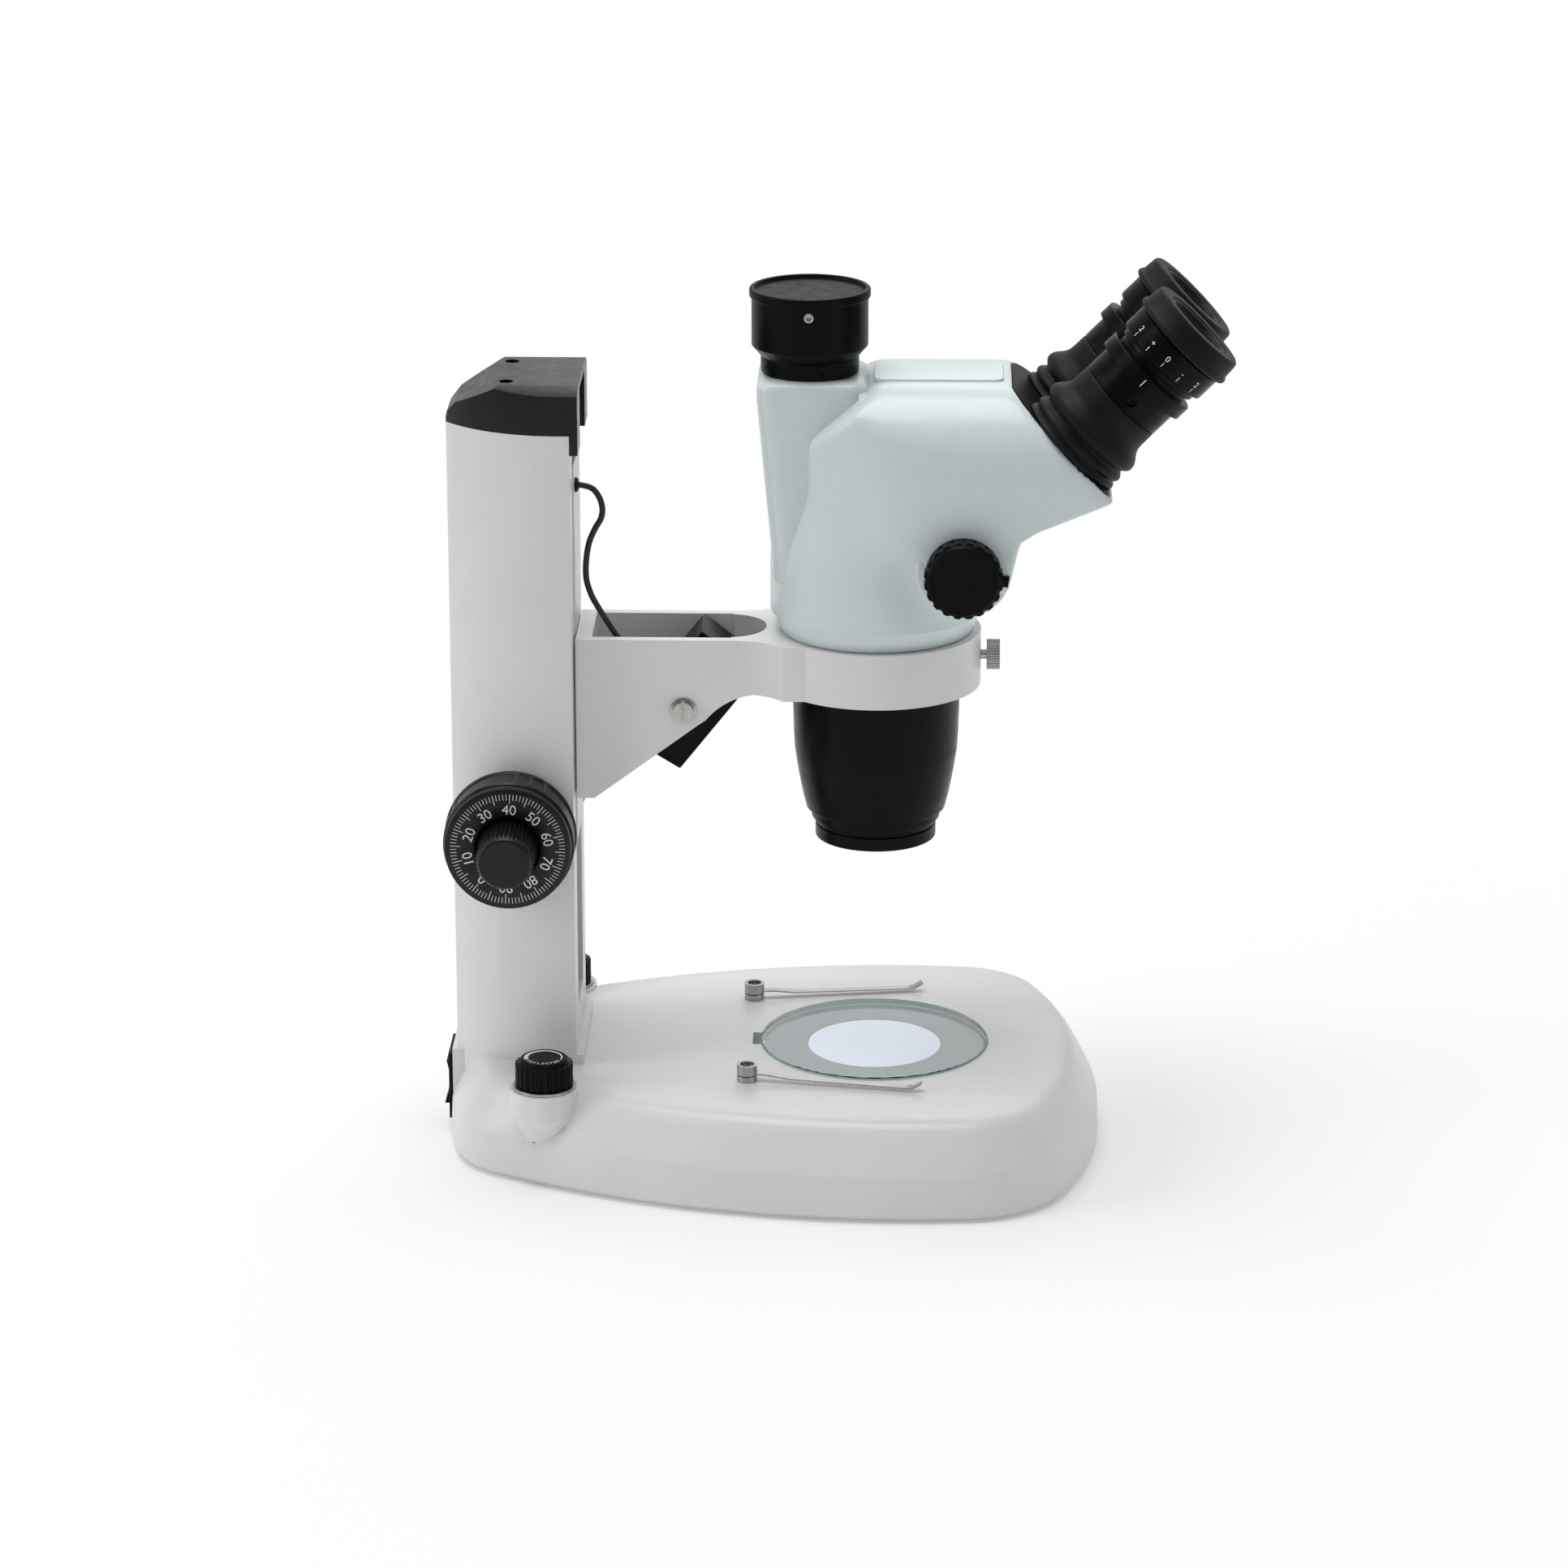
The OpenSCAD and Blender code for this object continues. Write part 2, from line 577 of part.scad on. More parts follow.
module coarse_knobs() color("black") on_axis() translate([-focus_x, 0, focus_z]) both_sides() along_y(1)
    difference() {
        union() {
            translate([0, 0, coarse_y0]) turned([[shaft_r + 0.03, 0], [coarse_r - 1.2, 0], [coarse_r, 1.4],
                [coarse_r, 3], [coarse_r - 0.6, 3.6], [coarse_r - 0.9, 13.6], [coarse_r - 0.3, 14.2],
                [coarse_r - 0.3, 15.6], [coarse_r - 1, 16.4], [shaft_r + 0.03, 16.4]]);
            // Raised grip ribs in four groups of three
            translate([0, 0, coarse_y0 + 3.4]) for (g = [0:3], i = [-1:1])
                rotate(90 * g + 13 * i + 20) translate([coarse_r - 2, -0.6, 0]) cube([1.75, 1.2, 10.8]);
        }
        translate([0, 0, coarse_y0 - 1]) cylinder(r = shaft_r + 0.03, h = 20);
        translate([0, 0, coarse_y1 - 9]) difference() {
            cylinder(r = coarse_r - 4, h = 10);
            cylinder(r = shaft_r + 4, h = 10);
        }
    }

dial_y0 = coarse_y1 + 0.4;

module fine_shaft() color("silver") on_axis() translate([-focus_x, 0, focus_z])
    along_y(1) translate([0, 0, -dial_y0 - 12]) cylinder(r = 3.5 - fit, h = 2 * dial_y0 + 24);

module fine_dials() color("black") on_axis() translate([-focus_x, 0, focus_z]) both_sides() along_y(1)
    translate([0, 0, dial_y0]) difference() {
        union() {
            turned([[3.4, 0], [dial_r, 0], [dial_r + 0.4, 0.6], [dial_r + 0.4, 3.6], [dial_r, 4.2],
                [dial_r - 0.6, 4.3], [finger_r + 6.2, 4.3], [finger_r + 4.6, 7.2], [finger_r + 3.6, 7.2],
                [finger_r + 3.2, 6.2], [finger_r, 6.2], [3.4, 6.2]]);
            translate([0, 0, 6.1]) fluted(finger_r + 0.9, 15, 40, 0.6, 0.8);
            translate([0, 0, 21.1 - thin]) cylinder(r1 = finger_r + 0.2, r2 = finger_r - 0.8, h = 2.6);
        }
        translate([0, 0, -1]) cylinder(r = 3.52 - fit, h = 13);
    }

// Arm

module arm_casting() color("ivory") on_axis() difference() {
    union() {
        // Neck and walls, with the slanting underside
        side_profile(arm_half) difference() {
            polygon([[-column_back + 0.9, arm_z], [-30, arm_z], [-30, ring_z], [-44, ring_z], [-60, ring_z - 5],
                [-72, ring_z - 13], [-column_back + 8, arm_z - arm_foot_h], [-column_back + 0.9, arm_z - arm_foot_h]]);
            translate([-46, ring_z - 30]) circle(r = 30, $fn = 96);
        }
        translate([0, 0, ring_z]) cylinder(r = ring_r, h = ring_h, $fn = 128);
        // Fillets in plan between the neck and the ring
        translate([0, 0, ring_z]) linear_extrude(ring_h) difference() {
            translate([-56, -arm_half - 10]) square([30, 2 * arm_half + 20]);
            for (s = [-1, 1]) translate([-56, s * (arm_half + 22)]) circle(r = 22, $fn = 96);
        }
    }
    // Bore for the head
    translate([0, 0, ring_z - 1]) cylinder(r = ring_bore_r, h = ring_h + 2, $fn = 128);
    // Lamp channel, open above and below, with a round front end
    translate([-column_back + 7.4, -arm_half + arm_wall, ring_z - 80]) cube([56.8, 2 * (arm_half - arm_wall), 160]);
    intersection() {
        translate([-60, 0, ring_z - 80]) scale([1, 1.1, 1]) cylinder(r = 15, h = 160);
        translate([-60, -arm_half + arm_wall + 1.2, ring_z - 80])
            cube([40, 2 * (arm_half - arm_wall) - 2.4, 160]);
    }
    // Pivot bores of the lamp
    translate([-lamp_back, 0, lamp_z]) along_y(1) translate([0, 0, -40]) cylinder(r = 2.6, h = 80);
    // Threaded hole of the clamp screw
    translate([30, 0, ring_z + ring_h / 2]) rotate([0, 90, 0]) cylinder(r = 2.1, h = 30);
    // Screws into the slider
    for (z = [arm_z - 15, arm_z - arm_foot_h + 12]) translate([-column_back - 1, 0, z]) rotate([0, 90, 0])
        cylinder(r = 2.1, h = 20);
}

// How far the loosened clamp screw stands back from the head's spigot
clamp_back_off = 2.2;

module clamp_screw() color("silver") on_axis() translate([0, 0, ring_z + ring_h / 2]) rotate([0, 90, 0]) {
    translate([0, 0, ring_bore_r + clamp_back_off]) cylinder(r = 2, h = ring_r - ring_bore_r + 3.3 - clamp_back_off);
    translate([0, 0, ring_r + 2.4]) fluted(6.2, 5.4, 36, 0.35, 0.5);
}

// The lamp's own frame: X along its face, upwards, and Z out of its face
module in_lamp() on_axis() translate([-lamp_back, 0, lamp_z]) rotate([0, 90 - lamp_angle, 0])
    rotate([0, 0, 180]) mirror([1, 0, 0]) rotate([0, 90, 0]) mirror([1, 0, 0]) children();

lamp_back_n = 13.5;
lamp_face_n = 15.8;

module lamp_housing() color("black") in_lamp() difference() {
    rotate([90, 0, 0]) translate([0, 0, -lamp_w / 2]) linear_extrude(lamp_w) polygon([
        [-23, lamp_face_n], [-24.4, 4], [-22, -lamp_back_n + 4], [-18, -lamp_back_n],
        [29, -lamp_back_n], [29, 3], [17, lamp_face_n]]);
    translate([-18, -lamp_w / 2 + 3, 3]) cube([32, lamp_w - 6, 20]);
    along_y(1) translate([0, 0, -40]) cylinder(r = 2.1, h = 80);
}

module lamp_lens() color("lightcyan") in_lamp() {
    translate([-17.8, -lamp_w / 2 + 3.2, lamp_face_n - 3]) cube([31.6, lamp_w - 6.4, 2]);
    translate([-17.8, -lamp_w / 2 + 3.2, 3.1]) cube([31.6, lamp_w - 6.4, 1.6]);
}

module lamp_pivot_screws() color("silver") on_axis() translate([-lamp_back, 0, lamp_z]) both_sides()
    along_y(1) difference() {
        union() {
            translate([0, 0, arm_half]) cylinder(r = 5.4, h = 0.8);
            translate([0, 0, arm_half + 0.8 - thin]) cylinder(r = 4.3, h = 2.4);
            translate([0, 0, lamp_w / 2 + 0.2]) cylinder(r = 2.55, h = arm_half - lamp_w / 2);
            translate([0, 0, 5]) cylinder(r = 2.1 - fit, h = lamp_w / 2);
        }
        translate([-0.5, -6, arm_half + 2]) cube([1, 12, 3]);
    }

module cable_gland() color("black") on_axis() translate([-100.5, -arm_half + arm_wall, arm_z - 21.5])
    cube([5, 9, 6]);

// A round tube swept along points, with flat ends
function unit(v) = v / norm(v);
function path_dir(p, i) = unit(p[min(i + 1, len(p) - 1)] - p[max(i - 1, 0)]);
function smooth_at(p, t) = let (i = min(floor(t), len(p) - 2), u = t - i,
        a = p[max(i - 1, 0)], b = p[i], c = p[i + 1], d = p[min(i + 2, len(p) - 1)])
    0.5 * ((2 * b) + (c - a) * u + (2 * a - 5 * b + 4 * c - d) * u * u + (3 * b - a - 3 * c + d) * u * u * u);

module swept_tube(points, r, sides, steps) {
    path = [for (k = [0:steps * (len(points) - 1)]) smooth_at(points, k / steps)];
    n = len(path);
    rings = [for (i = [0:n - 1]) let (t = path_dir(path, i), e = unit(cross(t, [0, 1, 0])), f = cross(t, e))
        [for (k = [0:sides - 1]) path[i] + r * (cos(360 * k / sides) * e + sin(360 * k / sides) * f)]];
    polyhedron(
        points = [for (ring = rings) each ring],
        faces = concat(
            [[for (k = [0:sides - 1]) k]],
            [for (i = [0:n - 2], k = [0:sides - 1]) let (j = (k + 1) % sides)
                each [[i * sides + k, (i + 1) * sides + j, i * sides + j],
                      [i * sides + k, (i + 1) * sides + k, (i + 1) * sides + j]]],
            [[for (k = [sides - 1:-1:0]) (n - 1) * sides + k]]),
        convexity = 6);
}

module lamp_cable() color("black") on_axis()
    swept_tube([for (p = cable_points) [-p[0], p[1], p[2] + arm_z]], cable_r, 8, 3);

// Head

module head_side() polygon([[-30, arm_z + 40], [-29, head_top - 28.3], [-27.5, head_top - 24.3],
    [-5, head_top - 5], [-1.5, head_top - lid_t], [56.5, head_top - lid_t],
    [60.9, head_top - 5], [60.9, plate_sum - 60.9], [eye_x + 18, eye_z - 18],
    [eye_x + 18.3, eye_z - 19.3], [eye_x + 17.4, eye_z - 20.6], [eye_x + 15.4, arm_z + 62], [57, arm_z + 46.8], [54, arm_z + 28],
    [49, arm_z + 16],
    [49, head_z], [-30, head_z]]);

module head_front() union() {
    intersection() {
        translate([-head_half, head_top - 34.3]) square([2 * head_half, 40]);
        union() {
            for (s = [-1, 1]) translate([s * (head_half - 34), head_top - 34]) circle(r = 34, $fn = 128);
            translate([-head_half + 34, head_top - 38.3]) square([2 * head_half - 68, 38.3]);
        }
    }
    polygon([[-head_half, head_top - 34], [head_half, head_top - 34], [head_half, head_top - 42.3],
        [collar_r, arm_z + 40], [collar_r, head_z], [-collar_r, head_z], [-collar_r, arm_z + 40],
        [-head_half, head_top - 42.3]]);
}

module head_plan() polygon([[101, -head_half], [101, head_half], [24, head_half], [2, head_half - 3.5],
    [-19, 34], [-30, 24], [-30, -24], [-19, -34], [2, -head_half + 3.5], [24, -head_half]]);

// Outer form of the main housing, in one piece with the round collar under it
module head_form() union() {
    intersection() {
        side_profile(60) head_side();
        rotate([90, 0, 90]) translate([0, 0, -60]) linear_extrude(180) head_front();
        linear_extrude(400) head_plan();
    }
    translate([0, 0, head_z]) cylinder(r = collar_r, h = arm_z + 30 - head_z, $fn = 128);
    translate([0, 0, arm_z + 30 - thin]) cylinder(r1 = collar_r, r2 = 30, h = 22, $fn = 128);
}

// Space inside the main housing
module head_space() union() {
    translate([0, 0, head_z - 1]) cylinder(r = collar_r - head_wall, h = arm_z + 31 - head_z, $fn = 128);
    translate([0, 0, arm_z + 30 - thin]) cylinder(r1 = collar_r - head_wall, r2 = 30 - head_wall, h = 22, $fn = 128);
    intersection() {
        side_profile(head_half - head_wall) polygon([[-16, arm_z + 30], [-16, head_top - lid_t - 14],
            [2, head_top - lid_t - head_wall], [54, head_top - lid_t - head_wall],
            [58, plate_sum - 4.8 - 58], [eye_x + 14.1, eye_z - 18.9],
            [54, arm_z + 48.6], [48, arm_z + 40], [46, arm_z + 30]]);
        rotate([90, 0, 90]) translate([0, 0, -60]) linear_extrude(180) union() {
            for (s = [-1, 1]) translate([s * (head_half - 34), head_top - 34]) circle(r = 34 - head_wall, $fn = 128);
            translate([-head_half + 34, head_top - 40]) square([2 * head_half - 68, 40 - head_wall]);
            polygon([[-head_half + head_wall, head_top - 34], [head_half - head_wall, head_top - 34],
                [head_half - head_wall, head_top - 41.3], [collar_r - head_wall - 1, arm_z + 42],
                [collar_r - head_wall - 1, arm_z], [-collar_r + head_wall + 1, arm_z],
                [-collar_r + head_wall + 1, arm_z + 42], [-head_half + head_wall, head_top - 41.3]]);
        }
        linear_extrude(400) polygon([[101, -head_half], [101, head_half], [24, head_half - head_wall],
            [4, head_half - 7], [-16, 32], [-16, -32], [4, -head_half + 7], [24, -head_half + head_wall]]);
    }
}

module main_housing() color("lightsteelblue") on_axis() {
    difference() {
        union() {
            head_form();
            both_sides() zoom_boss();
        }
        head_space();
        // Seat of the front plate, and the opening behind it
        in_plate() translate([0, 0, -1.7]) linear_extrude(12) square([44, 2 * head_half - 4], center = true);
        in_plate() translate([0, 0, -6]) linear_extrude(12) square([39, 2 * head_half - 7.4], center = true);
        // Recess under the top cover
        translate([2, -lid_half + 3, head_top - 12]) cube([52, 2 * lid_half - 6, 20]);
        // Bore of the zoom shaft
        translate([zoom_x, 0, zoom_z]) along_y(1) translate([0, 0, -80]) cylinder(r = 4 + fit, h = 160);
    }
    prism_shelf();
}

shelf_z = head_top - 46.6;
splitter_z = head_top - 32.3;

// Shelf across the inside of the head, with a bracket that holds the beam splitter
module prism_shelf() difference() {
    union() {
        translate([0, 0, shelf_z - 2.4]) linear_extrude(2.4) polygon([[54, 1.2 - head_half], [54, head_half - 1.2],
            [24, head_half - 1.2], [3, head_half - 4.8], [-18, 33], [-18, -33], [3, 4.8 - head_half], [24, 1.2 - head_half]]);
        translate([-12, -11, shelf_z - 1]) cube([18, 22, splitter_z - seam - shelf_z + 1]);
    }
    translate([-10, -8, shelf_z - 4]) cube([14, 16, 20]);
    both_sides() translate([14, 18, shelf_z - 4]) cylinder(r = 9, h = 6);
}

// White ring round the zoom shaft, with its index tab
module zoom_boss() translate([zoom_x, 0, zoom_z]) along_y(1) {
    translate([0, 0, collar_r - 6]) cylinder(r = 20, h = boss_face - collar_r + 6);
    translate([-6, -21.5, collar_r - 3]) cube([8, 7, boss_face - collar_r + 4]);
}

// Frame of the sloping front plate: its middle, with Z out of the face
module in_plate() translate([eye_x + 1.06, 0, eye_z - 1.06]) rotate([0, eye_angle, 0]) children();

module top_cover() color("lightsteelblue") on_axis() difference() {
    union() {
        side_profile(lid_half) polygon([[-1.5, head_top - lid_t + thin], [56.5, head_top - lid_t + thin],
            [55.5, head_top], [0, head_top]]);
        translate([2.2, -lid_half + 3.2, head_top - lid_t - 4]) cube([51.6, 2 * lid_half - 6.4, 4.1]);
    }
    translate([4, -lid_half + 5, head_top - lid_t - 5]) cube([48, 2 * lid_half - 10, 5]);
}

module tower_housing() color("lightsteelblue") on_axis() difference() {
    intersection() {
        side_profile(tower_half) polygon([[-42, arm_z + 24], [-43, arm_z + 40], [-tower_rear, head_top - 9],
            [-tower_rear + 0.4, head_top - 3], [-tower_rear + 2.6, head_top - 0.6], [-tower_front - 2.6, head_top - 0.6],
            [-tower_front - 0.4, head_top - 3], [-tower_front, head_top - 8], [-10, arm_z + 24]]);
        linear_extrude(400) union() {
            translate([-tower_rear - 1, -tower_half + 7]) square([50, 2 * tower_half - 14]);
            translate([-tower_rear + 7, -tower_half]) square([40, 2 * tower_half]);
            for (s = [-1, 1]) translate([-tower_rear + 7, s * (tower_half - 7)]) circle(r = 7);
        }
    }
    head_form();
    translate([-port_back, 0, head_top - 48.3]) cylinder(r = 14, h = 80);
}

module front_plate() color("black") on_axis() {
    difference() {
        in_plate() translate([0, 0, -1.7]) linear_extrude(1.7) square([43.4, 2 * head_half - 4.6], center = true);
        // Curved slots that the eyetubes swing in
        both_sides() in_eye(1) translate([swing_r, 0, -5]) for (a = [-2:4.5:swing_deg + 4])
            rotate(-a) translate([-swing_r, 0, 0]) cylinder(r = 9.5, h = 10);
    }
    // Pins that the eyetubes swing on
    both_sides() in_eye(1) translate([swing_r, 0, -6.2]) cylinder(r = 2, h = 4.6);
}

// Frame of an eyetube: Z along its axis, with its foot on the front plate
module in_eye(side) translate([eye_x, side * eye_spacing / 2, eye_z]) rotate([0, eye_angle, 0]) children();

module eyetube(side) color("black") on_axis() in_eye(side) difference() {
    union() {
        translate([0, 0, -14]) cylinder(r = 9, h = 36);
        turned([[8, 19], [16, 19], [16.6, 20], [16.6, 28.4], [tube_r, 28.4], [tube_r, 38.6],
            [21, 39], [21, 44.6], [20.4, 45.2], [17.5, 45.2], [17.5, 50.4], [8, 50.4]]);
        // Swing lever behind the front plate
        translate([0, -4, -6]) cube([swing_r, 8, 2.5]);
        translate([swing_r, 0, -6]) cylinder(r = 4, h = 2.5);
    }
    translate([0, 0, -15]) cylinder(r = 7, h = 80);
    translate([0, 0, 34]) cylinder(r = 15, h = 30);
    translate([swing_r, 0, -9]) cylinder(r = 2 + fit, h = 8);
    // Hole of the set screw
    translate([0, 0, 33]) rotate([-90 * side, 0, 0]) cylinder(r = 2, h = 30);
}

module eyetube_left() eyetube(-1);
module eyetube_right() eyetube(1);

module dioptre_ring(side) color("black") on_axis() in_eye(side)
    turned([[17.5 + fit, 47.6], [18.6, 47.6], [18.9, 48.2], [18.9, 50], [20.5, 50.4], [20.9, 51],
        [20.9, 60.6], [20, 61.2], [20, 66.6], [12.5, 66.6], [12.5, 61], [16, 61], [16, 50.9], [17.5 + fit, 50.9]]);

module dioptre_ring_left() dioptre_ring(-1);
module dioptre_ring_right() dioptre_ring(1);

module eyecup(side) color("black") on_axis() in_eye(side)
    turned([[20 + fit, 61.3], [cup_r + 0.2, 61.3], [cup_r + 0.6, 62], [cup_r + 0.5, 63.2], [cup_r - 0.2, 64],
        [cup_r - 0.3, 70], [cup_r - 1, 71], [18.4, 71.4], [17.4, 70.4], [17, 68], [16, 66.8],
        [20 + fit, 66.6 + fit]]);

module eyecup_left() eyecup(-1);
module eyecup_right() eyecup(1);

module eye_lens(side) color("lightcyan") on_axis() in_eye(side)
    turned([[0, 61.5], [12.4, 61.5], [12.4, 64.4], [10, 65.6], [6, 66.5], [0, 67]]);

module eye_lens_left() eye_lens(-1);
module eye_lens_right() eye_lens(1);

// Rubber boot with two bellows folds, a flared bell and a smooth sleeve
module boot(side) color("black") on_axis() in_eye(side)
    turned([[23, 0], [23.2, 1], [22.4, 2], [21.6, 2.6], [22.5, 3.8], [22.7, 5], [22.4, 6.2], [21, 7.4],
        [20.6, 8.4], [21.6, 9.2], [23, 10.4], [23.2, 12], [22.6, 14], [20.6, 16.4], [19.2, 18.4],
        [18.9, 20], [18.8, 28.2], [16.7, 28.2], [16.7, 20.2], [18, 17], [20.4, 13.4], [21, 11.8],
        [19, 9.4], [18.6, 8], [20.2, 5.6], [19.8, 3.8], [19.6, 2], [20.8, 0]]);

module boot_left() boot(-1);
module boot_right() boot(1);

module head_base_ring() color("lightsteelblue") on_axis() difference() {
    union() {
        translate([0, 0, collar_z]) cylinder(r1 = 39.2, r2 = collar_r - 1, h = collar_h - thin, $fn = 128);
        translate([0, 0, ring_z + 3]) cylinder(r = ring_bore_r - spigot_gap, h = ring_h - 2, $fn = 128);
    }
    translate([0, 0, ring_z - 2]) cylinder(r = drum_r + fit, h = 60, $fn = 128);
}

module objective_barrel() color("black") on_axis() translate([0, 0, nose_z]) difference() {
    turned([[nose_bore_r, nose_h + thin], [26.4, nose_h + thin], [26.6, nose_h + 3.6], [28.6, nose_h + 4.2], [28.8, nose_h + 5],
        [30.3, nose_h + 11], [32, nose_h + 20], [33.4, nose_h + 29], [33.9, nose_h + 37],
        [barrel_r, barrel_len - 10], [barrel_r, barrel_len + 3 - fit], [nose_bore_r, barrel_len + 3 - fit]]);
    translate([0, 0, nose_h + 8]) cylinder(r1 = 26, r2 = 30, h = barrel_len);
}

module nose_ring() color("black") on_axis() translate([0, 0, nose_z]) difference() {
    turned([[nose_bore_r - 2, 0], [24.4, 0], [24.9, 0.5], [24.9, 5.4], [24.2, 5.8], [24.2, 6.6], [25.2, 7], [25.6, nose_h],
        [nose_bore_r - 2, nose_h]]);
    translate([0, 0, -1]) cylinder(r = nose_bore_r, h = 7, $fn = 128);
}

module objective_lens() color("lightcyan") on_axis() translate([0, 0, nose_z + nose_h + thin]) {
    cylinder(r = nose_bore_r - 0.2, h = 6);
    translate([0, 0, -nose_h + 6.6]) cylinder(r = nose_bore_r - 2.2, h = nose_h - 6.6);
}

module zoom_shaft() color("silver") on_axis() translate([zoom_x, 0, zoom_z]) {
    along_y(1) translate([0, 0, -zoom_face + 4.2]) cylinder(r = 4, h = 2 * zoom_face - 8.4);
    along_y(1) translate([0, 0, -8]) cylinder(r = 5.2, h = 16);
}

module zoom_knobs() color("black") on_axis() translate([zoom_x, 0, zoom_z]) both_sides() along_y(1)
    difference() {
        union() {
            translate([0, 0, boss_face + 1.2]) turned([[4.03, 0], [zoom_r - 1, 0], [zoom_r - 0.6, 0.6],
                [zoom_r - 0.6, 5], [4.03, 5]]);
            translate([0, 0, boss_face + 6]) fluted(zoom_r, zoom_face - boss_face - 7.2, 20, 0.8, 1.7);
            translate([0, 0, zoom_face - 1.2 - thin]) cylinder(r1 = zoom_r - 0.9, r2 = zoom_r - 1.9, h = 1.2);
            // Pointer tab that shows the zoom setting
            rotate(8) translate([zoom_r - 2.5, -2.2, boss_face + 1.4]) cube([5, 4.4, 3.4]);
        }
        translate([0, 0, boss_face]) cylinder(r = 4.03, h = zoom_face - boss_face - 4);
        // Short slots round the neck
        for (i = [0:13]) rotate(360 * i / 14) translate([zoom_r - 2.2, -1.3, boss_face + 5.2]) cube([4, 2.6, 2]);
    }

module zoom_drum() color("goldenrod") on_axis() difference() {
    union() {
        translate([0, 0, arm_z - 14]) cylinder(r = drum_r, h = zoom_z - arm_z + 10);
        translate([0, 0, zoom_z - 5]) cylinder(r = zoom_x - 5.6, h = 10);
    }
    translate([0, 0, arm_z - 15]) cylinder(r = drum_r - 2.5, h = 80);
    // Two spiral cam slots, cut as slanting openings
    for (a = [0, 180]) rotate(a) translate([0, drum_r - 1, arm_z + 6]) rotate([0, 35, 0]) cube([34, 18, 4], center = true);
}

module prisms() color("lightcyan") on_axis() {
    // Beam splitter under the photo port
    translate([-12, -9, splitter_z]) cube([18, 18, 18]);
    // Roof prisms behind the two eyetubes
    both_sides() translate([34, 8, shelf_z + seam]) cube([16, 24, 20]);
}

// Seat of the dust cap in the port's mouth: its radius and depth, and the height of the set screw
port_seat_r = port_bore_r + 0.5;
port_seat_d = 8.9;
port_screw_h = 26.5;

module port_ring() color("black") on_axis() translate([-port_back, 0, head_top - 0.6 + thin]) difference() {
    turned([[port_bore_r, 0], [19.4, 0], [19.9, 0.6], [19.9, 6.4], [19.6, 7], [port_bore_r - 2, 7], [port_bore_r - 2, 0]]);
    for (a = [30, 150, 270]) rotate(a + 15) translate([16, 0, 3.6]) rotate([0, 90, 0]) cylinder(r = 1, h = 8);
}

module port_tube() color("black") on_axis() translate([-port_back, 0, head_top + 6.4 + 2 * thin]) difference() {
    turned([[port_bore_r - 3, 0], [20, 0], [port_r, 4.2], [port_r, port_h - 11], [port_bore_r - 3, port_h - 11]]);
    translate([0, 0, 4]) cylinder(r = port_bore_r, h = 40, $fn = 96);
    // Wider seat of the dust cap's plug above the adapter bore
    translate([0, 0, port_h - 11 - port_seat_d]) cylinder(r = port_seat_r, h = 40, $fn = 96);
    translate([0, 0, port_screw_h - 6.4]) along_y(-1) translate([0, 0, 10]) cylinder(r = 2.1, h = 20);
}

module port_set_screw() color("silver") on_axis() translate([-port_back, 0, head_top + port_screw_h]) along_y(-1)
    difference() {
        translate([0, 0, port_seat_r + 0.3]) cylinder(r = 2, h = port_r - port_seat_r - 0.1);
        translate([0, 0, port_r - 1]) cylinder(r = 1, h = 4, $fn = 6);
    }

module dust_cap() color("black") on_axis() translate([-port_back, 0, head_top + port_h - 4.6]) difference() {
    turned([[0, -8], [port_seat_r - 0.3, -8], [port_seat_r - 0.3, 0.1], [port_r + 0.4, 0.1], [port_r + 0.9, 0.7], [port_r + 0.9, 3.4],
        [port_r + 0.4, 4], [port_r - 1.2, 4], [port_r - 1.6, 2.6], [0, 2.6]]);
    translate([0, 0, -9]) cylinder(r = port_bore_r - 2, h = 9);
}

base_casting();
bottom_plate();
rubber_feet();
column_shell();
column_cap();
cap_screws();
guide_rails();
pinion_bushes();
circuit_boards();
light_diffuser();
stage_mask_ring();
potentiometers();
dc_inlet();
switch_bezel();
clip_posts();
focus_slider();
focus_rack();
arm_casting();
lamp_cable();
cable_gland();
lamp_pivot_screws();
pinion_shaft();
coarse_knobs();
fine_shaft();
fine_dials();
lamp_housing();
lamp_lens();
clamp_screw();
head_base_ring();
main_housing();
top_cover();
tower_housing();
front_plate();
objective_barrel();
nose_ring();
objective_lens();
prisms();
port_ring();
port_tube();
port_set_screw();
boot_left();
boot_right();
zoom_shaft();
zoom_knobs();
zoom_drum();
eyetube_left();
eyetube_right();
dioptre_ring_left();
dioptre_ring_right();
eyecup_left();
eyecup_right();
eye_lens_left();
eye_lens_right();
dust_cap();
stage_plate();
stage_clip_left();
stage_clip_right();
brightness_knob_left();
brightness_knob_right();
power_rocker();
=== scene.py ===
"""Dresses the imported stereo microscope: finishes, eased edges, marks, boots, lamp cable and studio."""

import json
import math

import bmesh
import bpy
from mathutils import Matrix, Vector

